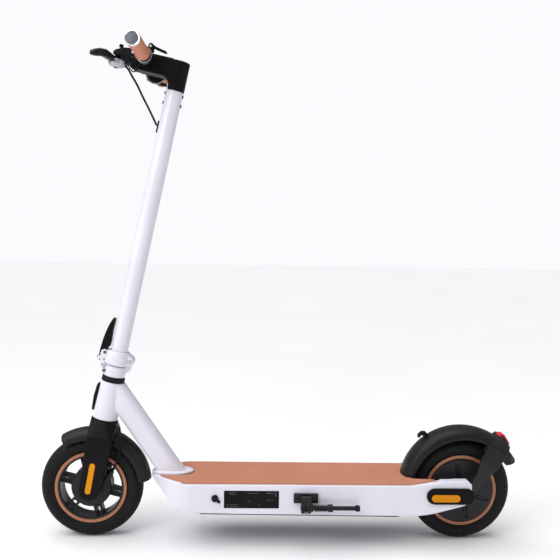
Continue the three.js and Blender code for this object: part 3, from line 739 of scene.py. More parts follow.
# ---- rear end ----
def arm_covers():
    shell = plate(stadium(-480, -363, 115, 154), ARM_OUT + 0.3, 95.6, edge=3.2, foot=0.3)
    pocket = plate(stadium(-446, -373, 120, 141), 94.2, 100, edge=0, foot=0)
    shell = carved(shell, pocket)
    glow = plate(stadium(-444.6, -374.4, 121.4, 139.6), 93.6, 96, edge=1.1, foot=0)
    for side, made, lens in (("left", shell, glow), ("right", flipped(shell), flipped(glow))):
        piece("axle_cover_" + side, made, *ON_FRAME, PLASTIC, ("arm_cover_" + side,))
        piece("side_reflector_" + side, lens, *ON_FRAME, AMBER)


def guard_profile(crown, edge, half, wall=3.0):
    """A mudguard's section as (radius, y): a crowned band, a shoulder and a skirt."""
    outer = [(edge, half - 1.0), (edge + 3, half), (crown - 15, half - 2.0), (crown - 8, half * 0.84),
            (crown - 2.5, half * 0.52), (crown, half * 0.15)]
    inner = [(r - wall * 0.9, y - wall * 0.75) for r, y in outer[1:]]
    inner = [(edge, half - wall)] + inner[1:]
    loop = outer + [(r, -y) for r, y in reversed(outer)] + [(r, -y)
            for r, y in inner] + list(reversed(inner))
    return rounded(loop, 3.0, 3)


def rear_guard():
    """Shell, tail pod and both stays, in one moulding, trimmed level with the deck."""
    shell = at(lathe(guard_profile(FENDER_R, 129, 40), 66, "y", 9, 121), FENDER_CENTRE)
    below = plate([(-420, 100), (-290, 100), (-290, 161), (-346, 162.5), (-380, 168), (-420, 168)], -90, 90,
            edge=0)
    pod_side = [(-522, 246), (-545, 255), (-556, 259), (-563, 264.5), (-570, 262.5), (-585, 238.5),
            (-583.5, 228), (-604.7, 202), (-604.3, 194), (-575, 191.5), (-545, 210), (-515, 232)]
    pod_plan = mirrored([(-500, 37), (-545, 36), (-566, 30), (-588, 25), (-600, 16), (-605, 8)])
    pod = shared(plate(pod_side, -40, 40, edge=0), plate(pod_plan, 150, 320, "xy", edge=0))
    wheel = at(disc(TYRE_R + 3.4, -32, 32, 0.2, sides=96), REAR_AXLE)
    wide = at(disc(TYRE_R + 7.5, -70, 70, 0.2, sides=96), REAR_AXLE)
    stations = [((-524, 40, 251), (-575, 29, 222)), ((-520, 43, 237), (-566, 32, 204)),
            ((-502, 59, 214), (-553, 36, 186)), ((-489, 67, 182), (-534, 44, 173)),
            ((-472, 77, 160), (-508, 57, 154)), ((-460, 83, 141), (-486, 70, 134))]
    rings = []
    for (x0, y0, z0), (x1, y1, z1) in stations:
        rings.append([(x0, y0 - 3.4, z0), (x0, y0 + 3.4, z0), (x1, y1 + 3.4, z1), (x1, y1 - 3.4, z1)])
    stay = loft(rings)
    root = hull([(x, y, z) for x, y, z in ((-512, 33, 232), (-516, 41, 243), (-545, 41, 232),
            (-580, 26, 226), (-580, 26, 206), (-560, 34, 196), (-530, 34, 240), (-548, 33, 250))])
    flare = hull([(x, y, z) for x, y in ((-326, 30), (-337, 44), (-356, 58), (-378, 67), (-392, 68),
            (-392, 37), (-330, 28)) for z in (158, 171)] + [(-345, 38, 190), (-360, 39, 196)])
    whole = joined(carved(shell, below), carved(pod, wheel), both(stay), both(carved(root, wheel)),
            both(carved(flare, wide, below)))
    piece("rear_mudguard", fused(whole, 1.35, 4), *ON_FRAME, FENDER, ("rear_fender",), **CAST)


def hook():
    side = [(-355.6, 256), (-357.4, 263), (-366, 270), (-376, 269.6), (-386, 258), (-394, 250), (-378, 243),
            (-371, 253), (-370, 260), (-366, 262), (-361.8, 260), (-360, 255.6)]
    piece("fold_hook", fused(plate(side, -8, 8, edge=0), 0.55, 3), *ON_FRAME, PLASTIC, ("fender_hook",))


def tail_light():
    side = [(-560, 263), (-566, 267.6), (-573.4, 266.6), (-587.4, 244.4), (-583.6, 238.6), (-576, 240)]
    piece("tail_lens", fused(plate(side, -14.5, 14.5, edge=0), 0.55, 3), *ON_FRAME, RED,
            ("tail_light_lens",))


# ---- kickstand ----
def tilt(shape):
    return shifted(turned(shape, 20, "X"), *STAND)


def kickstand():
    x, y, z = STAND
    outline = rounded([(-98.5, 117.5), (-98.5, 140.4), (-39.5, 140.4), (-39.5, 117.5)], 2)
    back = plate(outline, DECK_HALF + 0.3, 97, edge=1.0)
    bolts_at = ((-91.5, 129), (-46.5, 129))
    wells = joined(*[at(disc(4.4, 95, 100, 0.2, sides=28), point) for point in bolts_at])
    pin = tilt(disc(4, -14, 8, 0.8, sides=24))
    boss = tilt(disc(12.5, -15, -6.4, 0.8))
    inboard = plate(box(-140, 0, 60, 160), 60, DECK_HALF + 0.3, edge=0)
    bracket = joined(carved(back, wells), carved(boss, inboard), carved(pin, inboard))
    piece("stand_bracket", bracket, *ON_FRAME, METAL, ("kickstand_bracket",))
    bolts = [screw(*point, 95.2, 3.2, depth=1.4) for point in bolts_at]
    piece("stand_bolts", joined(*bolts), *ON_FRAME, METAL)
    eye = tilt(disc(9.5, -6, 6, 1.6, bore=4.3))
    block = slab([(-81, 98.6), (-81, 137.5), (-56.5, 137.5), (-56.5, 98.6)], 3, 99.5, 115.5, 2.2)
    block = joined(block, slab([(-86, 103.5), (-86, 118.5), (-80, 118.5), (-80, 103.5)], 2, 103.5, 116,
            1.5))
    rod = sweep([Vector((x - 12, y, z)), Vector((x - 60, y, z)), Vector((x - 118, y, z))], 5.4, 24)
    collar = turned(disc(9.2, -6, 6, 1.5, sides=32), 90, "Z")
    collar = shifted(collar, -127, y, z)
    leg = joined(block, eye, rod, collar)
    piece("stand_leg", leg, CHASSIS, "kickstand", METAL, ("kickstand_leg",))
    pins = [screw(px, pz, 115.2, 1.5, depth=0.9) for px in (-66.5, -71.5) for pz in (103, 111.5)]
    piece("stand_rivets", joined(*pins), CHASSIS, "kickstand", STEEL)
    coil = helix(-87, -121, y, z, 7.4, 8.5, 1.2)
    piece("stand_spring", coil, CHASSIS, "kickstand", METAL, weighted=False)
    knob = turned(disc(7.5, -5.8, 5.9, 2.6, sides=32), 90, "Z")
    piece("stand_tip", shifted(knob, -192.2, y, z), CHASSIS, "kickstand", SOFT_RUBBER, ("kickstand_foot",))


# ---- wheels, about their own axles ----
def tyre_profile():
    half = [(RIM_R + 0.3, 22), (93, 24.4), (97, 25.6), (102, 26.7), (106, TYRE_HALF), (110.5, 26.4),
            (115, 24.5), (119, 21), (122.5, 16.4), (125.2, 11), (126.6, 5.5), (TYRE_R, 0)]
    return half + [(r, -y) for r, y in reversed(half[:-1])]


SHOULDER = [(126.6, 6), (125.4, 11.5), (122, 18), (117.4, 22.8), (111.6, 26.4)]


def tread_cutters():
    """Slanted grooves down both shoulders, every second one longer."""
    grooves = []
    for i in range(TREADS):
        for side in (1, -1):
            points = SHOULDER if i % 2 else SHOULDER[1:]
            path = []
            for k, (r, y) in enumerate(points):
                a = 2 * math.pi * (i + 0.14 * k + (0.5 if side < 0 else 0)) / TREADS
                path.append(Vector((r * math.cos(a), side * y, r * math.sin(a))))
            grooves.append(sweep(path, 1.7, 6))
    return joined(*grooves)


def tyre_shape():
    shape = carved(lathe(tyre_profile(), 132, "y"), tread_cutters())
    bands = []
    for side in (1, -1):
        for r, y in ((99.5, 26.25), (111.5, 26.0)):
            bands.append(lathe([(r - 0.5, side * (y - 1)), (r, side * (y + 0.35)),
                    (r + 0.7, side * (y - 1))], 96, "y"))
    return joined(shape, *bands)


def copper_ring(name, place, body):
    profile = rounded([(81.5, 24.2), (81.8, 25.6), (89.0, 25.9), (89.4, 24.2)], 0.6)
    piece(name, both(lathe(profile, 96, "y")), place, body, RIM_COPPER)


def rear_wheel():
    half = [(6.3, 42), (20.5, 42), (22, 41), (25, 36.5), (28, 35.6), (60, 33.6), (77.5, 31.6), (79.5, 29),
            (80.5, 25), (RIM_R, 24.3)]
    hub = lathe(half + [(r, -y) for r, y in reversed(half)], 96, "y")
    slots, floors, screws = [], [], []
    for i in range(HUB_SLOTS):
        slot = plate(stadium(37, 70.5, -5.4, 5.4, 8), 29.6, 40, edge=0, foot=0)
        angle = -(78 + 360 / HUB_SLOTS * i)
        slots.append(turned(slot, angle, "Y"))
        base = plate(stadium(39.2, 61, -3.6, 3.6, 8), 29, 32.8, edge=0.5, foot=0)
        floors.append(turned(base, angle, "Y"))
        screws.append(turned(screw(66, 0, 29.4, 2.8), angle, "Y"))
    slots += [flipped(s) for s in slots]
    floors += [flipped(s) for s in floors]
    hub = carved(hub, joined(*slots))
    piece("rear_hub", joined(hub, *floors), REAR_WHEEL, "rear_wheel", HUB, ("rear_hub_motor",), sharp=28)
    piece("rear_hub_screws", both(joined(*screws)), REAR_WHEEL, "rear_wheel", METAL)
    copper_ring("rear_rim_ring", REAR_WHEEL, "rear_wheel")


def tyres():
    shape = tyre_shape()
    for end, place in (("rear", REAR_WHEEL), ("front", FRONT_WHEEL)):
        piece(end + "_tyre_tread", shape, place, end + "_wheel", RUBBER, (end + "_tyre",), sharp=38)


def front_wheel():
    band = lathe(rounded([(76, 23), (78, 24.5), (RIM_R, 24.5), (RIM_R, -24.5), (78, -24.5), (76, -23),
            (77, 0)], 0.8), 96, "y")
    drum = lathe(rounded([(6.3, 24), (40, 24), (48.5, 22.5), (50.5, 17), (49, 0), (50.5, -17),
            (48.5, -22.5), (40, -24), (6.3, -24)], 1.2), 72, "y")
    bars, holes = [], []
    for i in range(SPOKES):
        angle = 360 / SPOKES * i
        for side in (-1, 1):
            mid = side * 7.5
            bar = plate([(46, mid - 3), (80, mid - 2.4), (80, mid + 2.4), (46, mid + 3)], -13.5, 13.5,
                    edge=1.2)
            bars.append(turned(bar, -(angle + 15), "Y"))
        pad = slab([(48, -9), (57, -7), (57, 7), (48, 9)], 2, -9, 9, 1)
        bars.append(turned(pad, -(angle + 15), "Y"))
        holes.append(turned(shifted(disc(3.2, 20, 30, 0.2, sides=20), 33), angle, "Y"))
    drum = carved(drum, joined(*holes, *[flipped(h) for h in holes]))
    rim = fused(joined(band, drum, *bars), 1.1, 3)
    piece("front_wheel_casting", rim, FRONT_WHEEL, "front_wheel", HUB, ("front_rim",), **CAST)
    copper_ring("front_rim_ring", FRONT_WHEEL, "front_wheel")


# ---- fork ----
LEG_SIDE = [(25.6, 130), (25.2, 122), (21, 74), (18, 6), (16.5, -4), (12, -13), (4, -19), (-6, -21.3),
    (-17, -20), (-26, -14), (-32, -3), (-34.8, 10), (-35.5, 26), (-37, 87), (-39, 120), (-39.4, 130)]


def upright_slot(half_width, half_height):
    """A flat bar with round ends, standing on end, as a side view."""
    return [(b, a) for a, b in stadium(-half_height, half_height, -half_width, half_width, 12)]


def fork_body():
    """Sleeve, shoulders and both legs as one casting; the steerer inside the head tube is its own piece."""
    sleeve = lathe(rounded([(CORE, 150), (33.4, 150), (33.2, 171.5), (CORE, 171.5)], 1), 72)
    leg = plate(LEG_SIDE, LEG_IN + 0.5, COVER_OUT, edge=0)
    collar = [(a, b, s) for a, b in ring_of(33.2, 48) for s in (160, 170)]
    top = [(w, y, s) for w, y in ((26.6, 40), (25, 60), (20, 62), (-32, 62), (-37, 60), (-39.4, 40))
            for s in (128, 136)]
    shoulder = hull(collar + top)
    arch = shifted(lathe(box(CORE, 149.3, -38.4, 38.4), 96, "y"), TRAIL)
    casting = joined(sleeve, carved(shoulder, arch), carved(flipped(shoulder), arch), leg, flipped(leg))
    casting = carved(fused(casting, 1.35, 10), arch)
    axle = shifted(disc(6.4, -80, 80, 0.1), TRAIL, 0, 0)
    seat = turned(plate(upright_slot(7.6, 39.6), -1.3, 6, edge=0), FORK_LENS_LEAN, "Y")
    seat = shifted(seat, *FORK_LENS)
    casting = carved(casting, axle, seat, flipped(seat))
    piece("fork_casting", casting, *ON_FORK, PLASTIC, ("fork", "fork_cover_left", "fork_cover_right"),
            **CAST)
    piece("steerer", disc(15, 150, 305, 0.5, axis="z"), *ON_FORK, METAL)
    lens = plate(upright_slot(7.0, 39), -1.5, 1.4, edge=1.2, foot=0)
    lens = shifted(turned(lens, FORK_LENS_LEAN, "Y"), *FORK_LENS)
    piece("fork_reflector_left", lens, *ON_FORK, AMBER)
    piece("fork_reflector_right", flipped(lens), *ON_FORK, AMBER)
    plugs = [screw(16, 147, 47.5, 2.8, depth=2.4), screw(-29, 141, 52, 2.8, depth=2.4)]
    piece("fork_screws", both(joined(*plugs)), *ON_FORK, METAL)


def front_guard():
    """The front mudguard: two halves that meet at the fork, in one shell."""
    shell = fused(lathe(guard_profile(148, 120, 34, 2.8), 64, "y", 59, 173), 1.2, 4)
    piece("front_mudguard", shell, FRONT_WHEEL, "fork", FENDER, ("front_fender",), **CAST)


def front_hardware():
    cover = lathe(rounded([(15.3, 269.3), (28.5, 269.3), (28.5, 279), (26, 282), (15.3, 282)], 1.2), 64)
    groove = lathe(box(28.0, 29.5, 274.6, 275.6), 64)
    piece("headset_ring", carved(cover, groove), *ON_FORK, SOFT_RUBBER, ("headset_cover",))
    plate_half = disc(44, 25, 30, 1.6, bore=6.3, sides=64)
    ribs = [turned(plate(box(14, 41, -1.2, 1.2), 29, 30.8, edge=0.4), 45 * k, "Y") for k in range(8)]
    piece("drum_cover", shifted(joined(plate_half, *ribs), TRAIL), *ON_FORK, METAL, ("brake_plate",))
    px, pz = ARM_PIVOT
    arm = slab([(px + 3, pz - 6), (px + 7, pz + 1), (px - 14, pz + 40), (px - 21, pz + 37),
            (px - 6, pz - 5)], 3, 32, 35.4, 0.8)
    pivot = at(disc(5, 31.4, 36.4, 0.6, sides=24), ARM_PIVOT)
    clamp = shifted(disc(3.4, 31.2, 37, 0.6, sides=24), px - 17, 0, pz + 38)
    piece("drum_arm", joined(arm, pivot, clamp), STEERING, "brake_arm", METAL, ("brake_arm",))
    route = smooth_path([(-31, 19, 165), (-42, 29, 160), (-51, 37, 146), (-57, 39, 120), (-57, 37, 95),
            (-52, 33.6, 57)], 9)
    piece("drum_cable_sleeve", sweep(route, 2.2), *ON_FORK, SOFT_RUBBER, ("drum_cable",))
    nuts = [disc(10, 49.6, 52, 0.6, sides=6), disc(6, 45, 56, 0.8)]
    piece("front_axle_nuts", shifted(both(joined(*nuts)), TRAIL), *ON_FORK, STEEL)


# ---- folding joint ----
def hinge():
    ring = lathe(rounded([(15.3, 282.3), (25.5, 282.3), (26.5, 287), (26.5, 304), (25.5, 309), (15.3, 309)],
            1.5), 64)
    cap = disc(20, 305.3, 309, 0.3, axis="z")
    ear = slab([(-18, 288), (-18, 308), (-24, 309), (-25, 327), (-33, 335), (-41, 327), (-36, 300)], 3, -7,
            7, 1.5)
    lug = slab([(18, 284), (31, 285), (34, 297), (29, 304), (18, 305)], 3, -11, 11, 2)
    base = fused(joined(ring, cap, ear, lug), 0.9, 4)
    base = carved(base, at(disc(4.3, -30, 30, 0.1), FOLD))
    piece("hinge_lower", base, *ON_FORK, PAINT, ("hinge_base",), **CAST_WHITE)
    bolt = shifted(disc(5, -12.8, 12.8, 1.0, sides=32), 26, 0, 295)
    piece("hinge_bolt", bolt, *ON_FORK, BRASS)
    collar = lathe(rounded([(STEM_R + 0.3, 313), (STEM_R - 3, 313), (STEM_R - 3, 311), (27, 311), (31, 316),
            (31.4, 329), (31, 342), (27, 347), (STEM_R + 0.3, 347)], 1.6), 72)
    cheeks = slab([(-18, 315), (-18, 344), (-30, 342), (-40, 336), (-43, 327), (-40, 319), (-33, 315)], 5,
            -17, 17, 3)
    front = slab([(26, 314), (37, 314.5), (44, 319), (43.5, 326), (36, 329), (26, 331)], 3, -5, 5, 1.2)
    slot = plate(box(-60, -22.6, 300, 337), -7.6, 7.6, edge=0)
    inside = disc(STEM_R + 0.3, 313.2, 360, 0.1, axis="z", sides=64)
    pin = at(disc(4.3, -30, 30, 0.1), FOLD)
    hole = at(disc(3.3, -30, 30, 0.1), LATCH)
    whole = carved(fused(joined(collar, cheeks, front), 0.9, 4), slot, inside, pin, hole)
    piece("hinge_upper", whole, *ON_STEM, PAINT, ("hinge_collar",), **CAST_WHITE)
    fold = at(joined(disc(4, -17.8, 17.8, 0.4, sides=32), disc(6.2, 17.2, 18.5, 0.5, sides=32)), FOLD)
    piece("hinge_pin", fold, *ON_STEM, STEEL, ("fold_pin",))


def latch():
    side = [(44, 315), (46.3, 340), (44.5, 365), (41, 388), (36.5, 408), (30, 425), (26.5, 425.5),
            (24, 421), (24.8, 392), (23.5, 364), (25, 351), (32.5, 348), (32.5, 317), (36, 314)]
    body = slab(side, 4, -12, 12, 3.2)
    groove = slab([(38, 345), (50, 345), (50, 405), (36, 405)], 3, -5, 5, 0)
    front = carved(body, plate(box(20, 60, 305, 332), -5.6, 5.6, edge=0))
    core = slab([(25, 352), (42.3, 352), (38.5, 390), (29, 418), (25, 410)], 2, -6, 6, 1)
    front = joined(carved(front, groove), core)
    pin = at(disc(3, -14, 14, 0.5, sides=24), LATCH)
    piece("latch_handle", fused(front, 0.8, 3), STEERING, "latch_lever", PLASTIC, ("latch_lever",), **CAST)
    piece("latch_pin", pin, STEERING, "latch_lever", STEEL)
    side = rounded([(29, 302), (34, 301), (38, 305), (41.6, 335), (40, 343), (33.5, 347), (26.5, 344),
            (23.6, 337), (26, 318), (27, 305)], 3)
    half = plate(side, 13.6, 17.6, edge=1.4)
    tie = slab([(36, 319), (49.6, 321), (49.6, 328), (40, 328)], 2, 13.6, 16.4, 1)
    bridge = slab([(46.8, 321), (49.6, 322), (49.6, 328), (46.8, 328)], 1, -16.4, 16.4, 0.6)
    piece("latch_yoke", joined(both(joined(half, tie)), bridge), STEERING, "latch_link", PAINT,
            ("latch_link",))
    piece("latch_bolts", both(screw(31.4, 339.1, 17.3, 3.9, depth=1.6)), STEERING, "latch_link", BRASS)
    dots = [screw(29.8, 321.7, 17.2, 2.0, depth=0.9), screw(31, 308, 17.2, 2.0, depth=0.9)]
    piece("latch_rivets", both(joined(*dots)), STEERING, "latch_link", METAL)
    lobe = slab([(19, 287.6), (27, 287.6), (31.4, 291), (31.4, 298), (26, 301), (17.5, 300.4), (16.4, 293)],
            4, 12.6, 16.8, 1.4)
    piece("hinge_lobes", both(lobe), *ON_FORK, PAINT)
    piece("hinge_lobe_bolts", both(screw(24.4, 294.4, 16.6, 4.3, depth=1.6)), *ON_FORK, BRASS)


# ---- stem and head ----
def stem():
    tube = lathe(box(STEM_R - 2.5, STEM_R, 313.4, STEM_TOP), 96)
    mouth = slab(box(-1, 40, 895, 921), 3, -4.2, 4.2, 0)
    tube = carved(tube, shifted(mouth, 10))
    piece("stem_pipe", tube, *ON_STEM, PAINT, ("stem_tube",), sharp=40)
    grommet = plate(rounded(box(-4.6, 4.6, 893, 923), 4.2), 16, 24.4, "yz", edge=1.4)
    piece("cable_grommet", grommet, *ON_STEM, SOFT_RUBBER)
    screws = []
    for s in (991.7, 968.2):
        head = disc(3.8, 0, 3.0, 0.5, axis="z", sides=28)
        head = carved(head, disc(1.9, 1.6, 5, 0.1, axis="z", sides=6))
        out = turned(head, 90, "Y")
        screws.append(shifted(out, STEM_R - 0.7, 0, s))
        screws.append(shifted(turned(head, -90, "Y"), -STEM_R + 0.7, 0, s - 1))
    piece("stem_screws", joined(*screws), *ON_STEM, METAL)


def head():
    side = [(-22, 999), (15, 999)]
    side += [(15.4, 1006), (17.4, 1014), (21.6, 1021), (28, 1025.6), (36, 1027)]
    side += [(95, 1027.5), (95, HEAD_TOP), (-22.6, HEAD_TOP), (-22.6, HEAD_TOP - 4)]
    body = plate(side, -HEAD_HALF, HEAD_HALF, edge=0)
    plan = mirrored([(96, 30), (0, 30), (0, HEAD_HALF), (-7, 25), (-14, 21), (-19.5, 14.5), (-22.5, 7),
            (-23.3, 0.5)])
    body = fused(shared(body, plate(plan, 980, 1100, "xy", edge=0)), 0.85, 7)
    socket = disc(STEM_R + 0.1, 990, STEM_TOP, 0.1, axis="z", sides=64)
    bar = shifted(disc(BAR_R + 0.3, -60, 60, 0.1), BAR_X, 0, BAR_Z)
    button = shifted(disc(7, HEAD_TOP - 5, HEAD_TOP + 5, 0.1, axis="z"), 3)
    body = carved(body, socket, bar, button)
    piece("head_housing", body, *ON_STEM, PLASTIC, ("head_shell",), **CAST)
    screen = plate(rounded(mirrored([(16, 19), (19, 21), (88, 21), (91, 19)]), 3), HEAD_TOP + 0.2,
            HEAD_TOP + 2.3, "xy", edge=0.7, foot=0.2)
    piece("display_window", screen, *ON_STEM, GLASS, ("display",))
    key = shifted(joined(disc(6.6, HEAD_TOP - 2.5, HEAD_TOP + 2, 0.8, axis="z"),
            disc(4.2, HEAD_TOP + 1.6, HEAD_TOP + 2.4, 0.3, axis="z", bore=3.2)), 3)
    piece("power_key", key, STEERING, "power_button", SILVER, ("power_button",))
    lamp = slab([(95.3, 1028), (108, 1028), (113, 1033), (114, 1040), (114, 1059), (110, HEAD_TOP - 1),
            (95.3, HEAD_TOP)], 2.5, -HEAD_HALF + 2, HEAD_HALF - 2, 3)
    piece("headlight_housing", lamp, *ON_STEM, PLASTIC, ("headlight",))
    window = plate(rounded(box(-17, 17, 1036, 1062), 9), 112.6, 114.8, "yz", edge=0.9, foot=0.2)
    piece("headlight_window", window, *ON_STEM, LENS)


# ---- handlebar ----
def on_bar(shape):
    return shifted(shape, BAR_X, 0, BAR_Z)


def handlebar():
    bar = on_bar(disc(BAR_R, -228, 228, 0.5, bore=BAR_R - 2.2, sides=56))
    piece("bar_tube", bar, *ON_STEM, METAL, ("handlebar",))
    outer = BAR_HALF - 5.3
    profile = [(BAR_R + 0.3, GRIP_INNER), (18.2, GRIP_INNER), (18.6, GRIP_INNER + 1.5),
            (18.2, GRIP_INNER + 3.4), (GRIP_R - 0.3, GRIP_INNER + 4.6), (GRIP_R - 0.9, GRIP_INNER + 30),
            (GRIP_R - 0.3, outer - 40), (GRIP_R, outer - 8), (GRIP_R - 0.4, outer), (BAR_R + 0.3, outer)]
    sleeve = on_bar(lathe(profile, 64, "y"))
    cap = on_bar(lathe([(CORE, 228.4), (14.9, 228.4), (16.7, 229.2), (16.9, 231), (16.4, 233.2),
            (15, BAR_HALF), (13.2, BAR_HALF - 0.2), (12.6, BAR_HALF - 1.2), (CORE, BAR_HALF - 1.2)], 64,
            "y"))
    face = on_bar(lathe([(CORE, 232), (12.2, 232), (12.2, 233.3), (10, 233.9), (CORE, 234.1)], 64, "y"))
    for side, turn in (("left", joined), ("right", flipped)):
        piece("grip_sleeve_" + side, turn(sleeve), *ON_STEM, GRIP, ("grip_" + side,))
        piece("bar_end_ring_" + side, turn(cap), *ON_STEM, CHROME, ("bar_end_" + side,))
        piece("bar_end_face_" + side, turn(face), *ON_STEM, SLATE)


def brake_controls():
    ring = on_bar(disc(16.5, 84, 103.5, 1.4, bore=BAR_R + 0.2, sides=56))
    neck = slab([(84, 1062), (84, 1040), (110, 1040), (124, 1040), (140, 1037), (140, 1046), (122, 1056)],
            3, 84, 101, 2)
    boss = slab([(112, 1037), (141, 1037), (141, 1044.2), (112, 1046)], 1.5, 72, 101, 1.5)
    floor = slab(box(112, 140, 1019, 1023), 1, 72, 96, 1)
    back = slab([(104, 1021), (124, 1019), (124, 1044), (98, 1046)], 4, 71, 99, 2.5)
    clear = on_bar(disc(BAR_R + 0.2, 60, 120, 0.1))
    perch = carved(fused(joined(ring, neck, boss, floor, back), 0.9, 4), clear)
    piece("lever_perch", perch, *ON_STEM, PLASTIC, ("brake_perch",), **CAST)
    bolt = shifted(disc(4.2, 1042.4, 1045.2, 0.8, axis="z", sides=24), 128, 90)
    piece("perch_screws", joined(bolt, screw(96, 1050, 100.8, 3.2)), *ON_STEM, STEEL)
    stations = [(74, 130, 4.5, 1030, 4), (78, 130, 8, 1030, 6.4), (90, 131.5, 8, 1029.4, 6.4),
            (100, 135.5, 7.4, 1024.6, 6.4), (112, 139.5, 7, 1024.4, 7.4), (125, 143, 7, 1025, 8.5),
            (150, 147.6, 6.6, 1025, 9), (166, 151.6, 6.6, 1022, 8.8), (180, 156, 6.8, 1017.4, 7.8),
            (190, 160, 6.6, 1013.6, 6.6), (195.5, 162, 5, 1012, 4.6), (197.4, 162.6, 2.4, 1011.6, 2)]
    rings = []
    for y, w, half_w, s, half_s in stations:
        loop = box(w - half_w, w + half_w, s - half_s, s + half_s)
        loop = rounded(loop, 0.62 * min(half_w, half_s))
        rings.append([(a, y, b) for a, b in loop])
    blade = loft(rings)
    under = plate(box(90, 200, 990, 1023.3), 40, 99, edge=0)
    over = plate(box(90, 200, 1036.7, 1090), 40, 99, edge=0)
    holes = [shifted(disc(2.2, 1000, 1060, 0.1, axis="z", sides=20), x, y)
            for x, y in ((140, 113), (143.4, 126))]
    blade = carved(blade, under, over, joined(*holes))
    piece("brake_blade", blade, STEERING, "brake_lever", METAL, ("brake_lever",), sharp=35)
    dome = [(CORE, 1026), (18.4, 1026), (19.3, 1025), (19.4, 1019), (18.8, 1014.8), (16.4, 1011.4),
            (11.5, 1009.4), (6.5, 1008.6), (CORE, 1008.4)]
    piece("bell_cup", shifted(lathe(dome, 64), *BELL), *ON_STEM, SILVER, ("bell_dome",))
    stud = shifted(disc(4.6, 1007.2, 1010, 0.7, axis="z", sides=24), *BELL)
    piece("bell_stud", stud, *ON_STEM, PLASTIC)
    stalk = slab([(125.6, 1046.6), (132, 1046.6), (130.5, 1061), (126, 1061)], 1.2, 75.5, 80.5, 1)
    knob = shifted(disc(5, 1058, 1066, 2, axis="z", sides=28), 130, 78)
    piece("bell_flicker", joined(stalk, knob), STEERING, "bell_striker", PLASTIC, ("bell_striker",))
    route = smooth_path([(122, 68.5, 1022), (110, 62, 1018.5), (97, 54, 1004), (83, 45, 988), (67, 33, 966),
            (47, 19, 940), (25.2, 3, 910)], 10)
    sleeve = sweep(route, 2.5)
    ferrule = sweep([route[0], route[2], route[4]], 3.6, 20)
    wires = []
    for k, drop in enumerate((0, 6)):
        path = smooth_path([(108 + 2 * k, 70, 1034 - drop), (103, 60, 1024 - drop), (97, 46, 1022 - drop),
                (93, 33, 1032 - drop), (90, 24, 1044 - drop)], 9)
        wires.append(sweep(path, 1.5, 10))
    piece("control_wires", joined(*wires), *ON_STEM, SOFT_RUBBER)
    piece("brake_cable_sleeve", joined(sleeve, ferrule), *ON_STEM, SOFT_RUBBER, ("brake_cable",))


def thumb_controls():
    ring = on_bar(disc(19, 62, 83.5, 1.5, bore=BAR_R + 0.2, sides=56))
    ears = [slab([(56, 1066), (68, 1066), (69, 1080), (65, 1084), (58, 1083)], 2, y0, y1, 0.8)
            for y0, y1 in ((62, 65.6), (80.4, 83.7))]
    piece("thumb_clamp", joined(ring, *ears), *ON_STEM, PLASTIC, ("thumb_housing",))
    trim = on_bar(disc(19.4, 83.2, 85.2, 0.8, bore=16.9, sides=56))
    piece("thumb_clamp_ring", trim, *ON_STEM, SILVER)
    piece("thumb_screw", screw(63, 1076.5, 83.5, 3.0, depth=1.4), *ON_STEM, STEEL)
    side = [(69, 1075), (70, 1081), (66, 1084), (61, 1083.4), (52, 1079), (40, 1076.5), (27, 1074),
            (24, 1071), (27, 1068.8), (44, 1072), (58, 1075)]
    piece("thumb_paddle", slab(side, 2.2, 66, 80, 1.8), STEERING, "thumb_lever", PLASTIC, ("thumb_lever",))
    drum = on_bar(disc(22, -84, -62, 2.0, bore=BAR_R + 0.2, sides=64))
    inside = on_bar(disc(BAR_R + 0.2, -100, -50, 0.1))
    piece("throttle_body", carved(drum, inside), *ON_STEM, PLASTIC, ("throttle_housing",))
    rim = at(disc(26, -61.8, -59.2, 0.8, bore=23, sides=64), THROTTLE)
    face = at(disc(23, -62.2, -60.4, 0.5, sides=64), THROTTLE)
    piece("throttle_ring", rim, *ON_STEM, SILVER)
    piece("throttle_face", face, *ON_STEM, PLASTIC)
    side = [(86, 1023), (85, 1027.2), (74, 1029), (64, 1028.6), (50, 1024.4), (36, 1024), (30, 1020.4),
            (34, 1017.2), (48, 1017), (60, 1018.4), (82, 1021)]
    piece("throttle_paddle", slab(side, 2.2, -81, -63, 2), STEERING, "throttle_lever", PLASTIC,
            ("throttle_lever",))


def carried_over():
    """CAD nodes whose shape shows as it is."""
    repaint(STEEL, "rear_axle", "front_axle", "headset_bearing")
    repaint(METAL, "battery_pack", "motor_controller")


# ---- stage ----
def floor():
    mesh = bpy.data.meshes.new("floor")
    corners = box(-FLOOR_REACH, FLOOR_REACH, -FLOOR_REACH, FLOOR_REACH)
    mesh.from_pydata([(x, y, 0) for x, y in corners], [], [(0, 1, 2, 3)])
    made = bpy.data.objects.new("floor", mesh)
    bpy.context.scene.collection.objects.link(made)
    made.data.materials.append(material("pale floor", (0.90, 0.90, 0.905), (0.92, 0.92, 0.925), 0.7,
            grain=60.0, depth=0.02, patch=1.0, specular=0.2))
    made.location.z = -0.0003


def lamp(name, place, target, size, watts):
    data = bpy.data.lights.new(name, "AREA")
    data.shape = "RECTANGLE"
    data.size, data.size_y = size
    data.energy = watts
    made = bpy.data.objects.new(name, data)
    bpy.context.scene.collection.objects.link(made)
    made.location = place
    made.rotation_mode = "QUATERNION"
    made.rotation_quaternion = (Vector(target) - Vector(place)).to_track_quat("-Z", "Y")


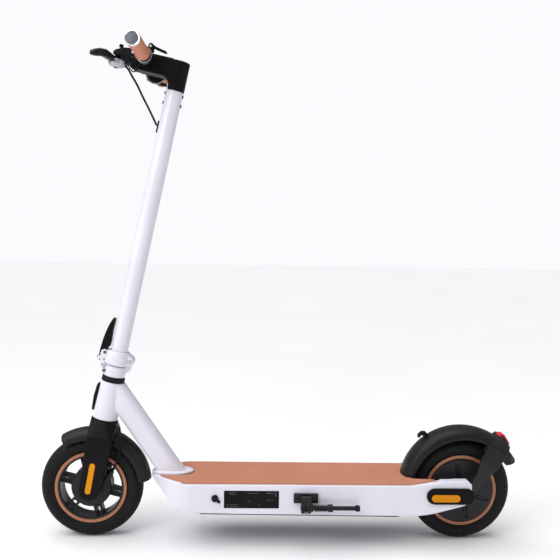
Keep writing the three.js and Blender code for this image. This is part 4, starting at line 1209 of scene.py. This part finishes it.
def studio():
    """An even, pale surround; the camera sees a backdrop three times as bright as the light it gives."""
    world = bpy.data.worlds.new("studio")
    world.use_nodes = True
    nodes, links = world.node_tree.nodes, world.node_tree.links
    around = nodes["Background"]
    dial(around, **SURROUND)
    backdrop = nodes.new("ShaderNodeBackground")
    dial(backdrop, Color=BACKDROP)
    seen = nodes.new("ShaderNodeLightPath")
    mix = nodes.new("ShaderNodeMixShader")
    links.new(seen.outputs["Is Camera Ray"], mix.inputs["Fac"])
    links.new(around.outputs["Background"], mix.inputs[1])
    links.new(backdrop.outputs["Background"], mix.inputs[2])
    links.new(mix.outputs["Shader"], nodes["World Output"].inputs["Surface"])
    bpy.context.scene.world = world
    bpy.context.scene.view_settings.view_transform = "Standard"
    sun = bpy.data.lights.new("overhead", "SUN")
    sun.energy = SUN_STRENGTH
    sun.angle = math.radians(SUN_SPREAD)
    made = bpy.data.objects.new("overhead", sun)
    bpy.context.scene.collection.objects.link(made)
    made.rotation_mode = "QUATERNION"
    made.rotation_quaternion = Vector((-0.35, -0.10, -1)).to_track_quat("-Z", "Y")
    middle = (0, 0, 0.45)
    lamp("front strip", (2.4, 1.6, 1.3), middle, (0.35, 2.0), 13)
    lamp("side panel", (1.1, 1.4, 1.5), (0.36, 0, 1.0), (0.8, 0.7), 9)
    lamp("rear strip", (-2.4, 1.2, 1.4), middle, (0.35, 2.0), 6)


def camera():
    pan, dip, roll = CAMERA_TURN
    f, r, u = Vector((0, -1, 0)), Vector((-1, 0, 0)), Vector((0, 0, 1))
    ahead = f * math.cos(pan) + r * math.sin(pan)
    right = r * math.cos(pan) - f * math.sin(pan)
    look = ahead * math.cos(dip) + u * math.sin(dip)
    up = u * math.cos(dip) - ahead * math.sin(dip)
    right, up = right * math.cos(roll) + up * math.sin(roll), up * math.cos(roll) - right * math.sin(roll)
    data = bpy.data.cameras.new("camera")
    data.lens = CAMERA_LENS
    data.sensor_width = 36
    made = bpy.data.objects.new("camera", data)
    bpy.context.scene.collection.objects.link(made)
    turn = Matrix((right, up, -look)).transposed().to_4x4()
    made.matrix_world = Matrix.Translation(CAMERA_AT) @ turn
    bpy.context.scene.camera = made


front_frame()
reflector_strip()
deck_shell()
deck_mat()
under_cover()
label_plate()
charge_parts()
arm_covers()
rear_guard()
hook()
tail_light()
kickstand()
tyres()
rear_wheel()
front_wheel()
fork_body()
front_guard()
front_hardware()
hinge()
latch()
stem()
head()
handlebar()
brake_controls()
thumb_controls()
carried_over()
floor()
studio()
camera()
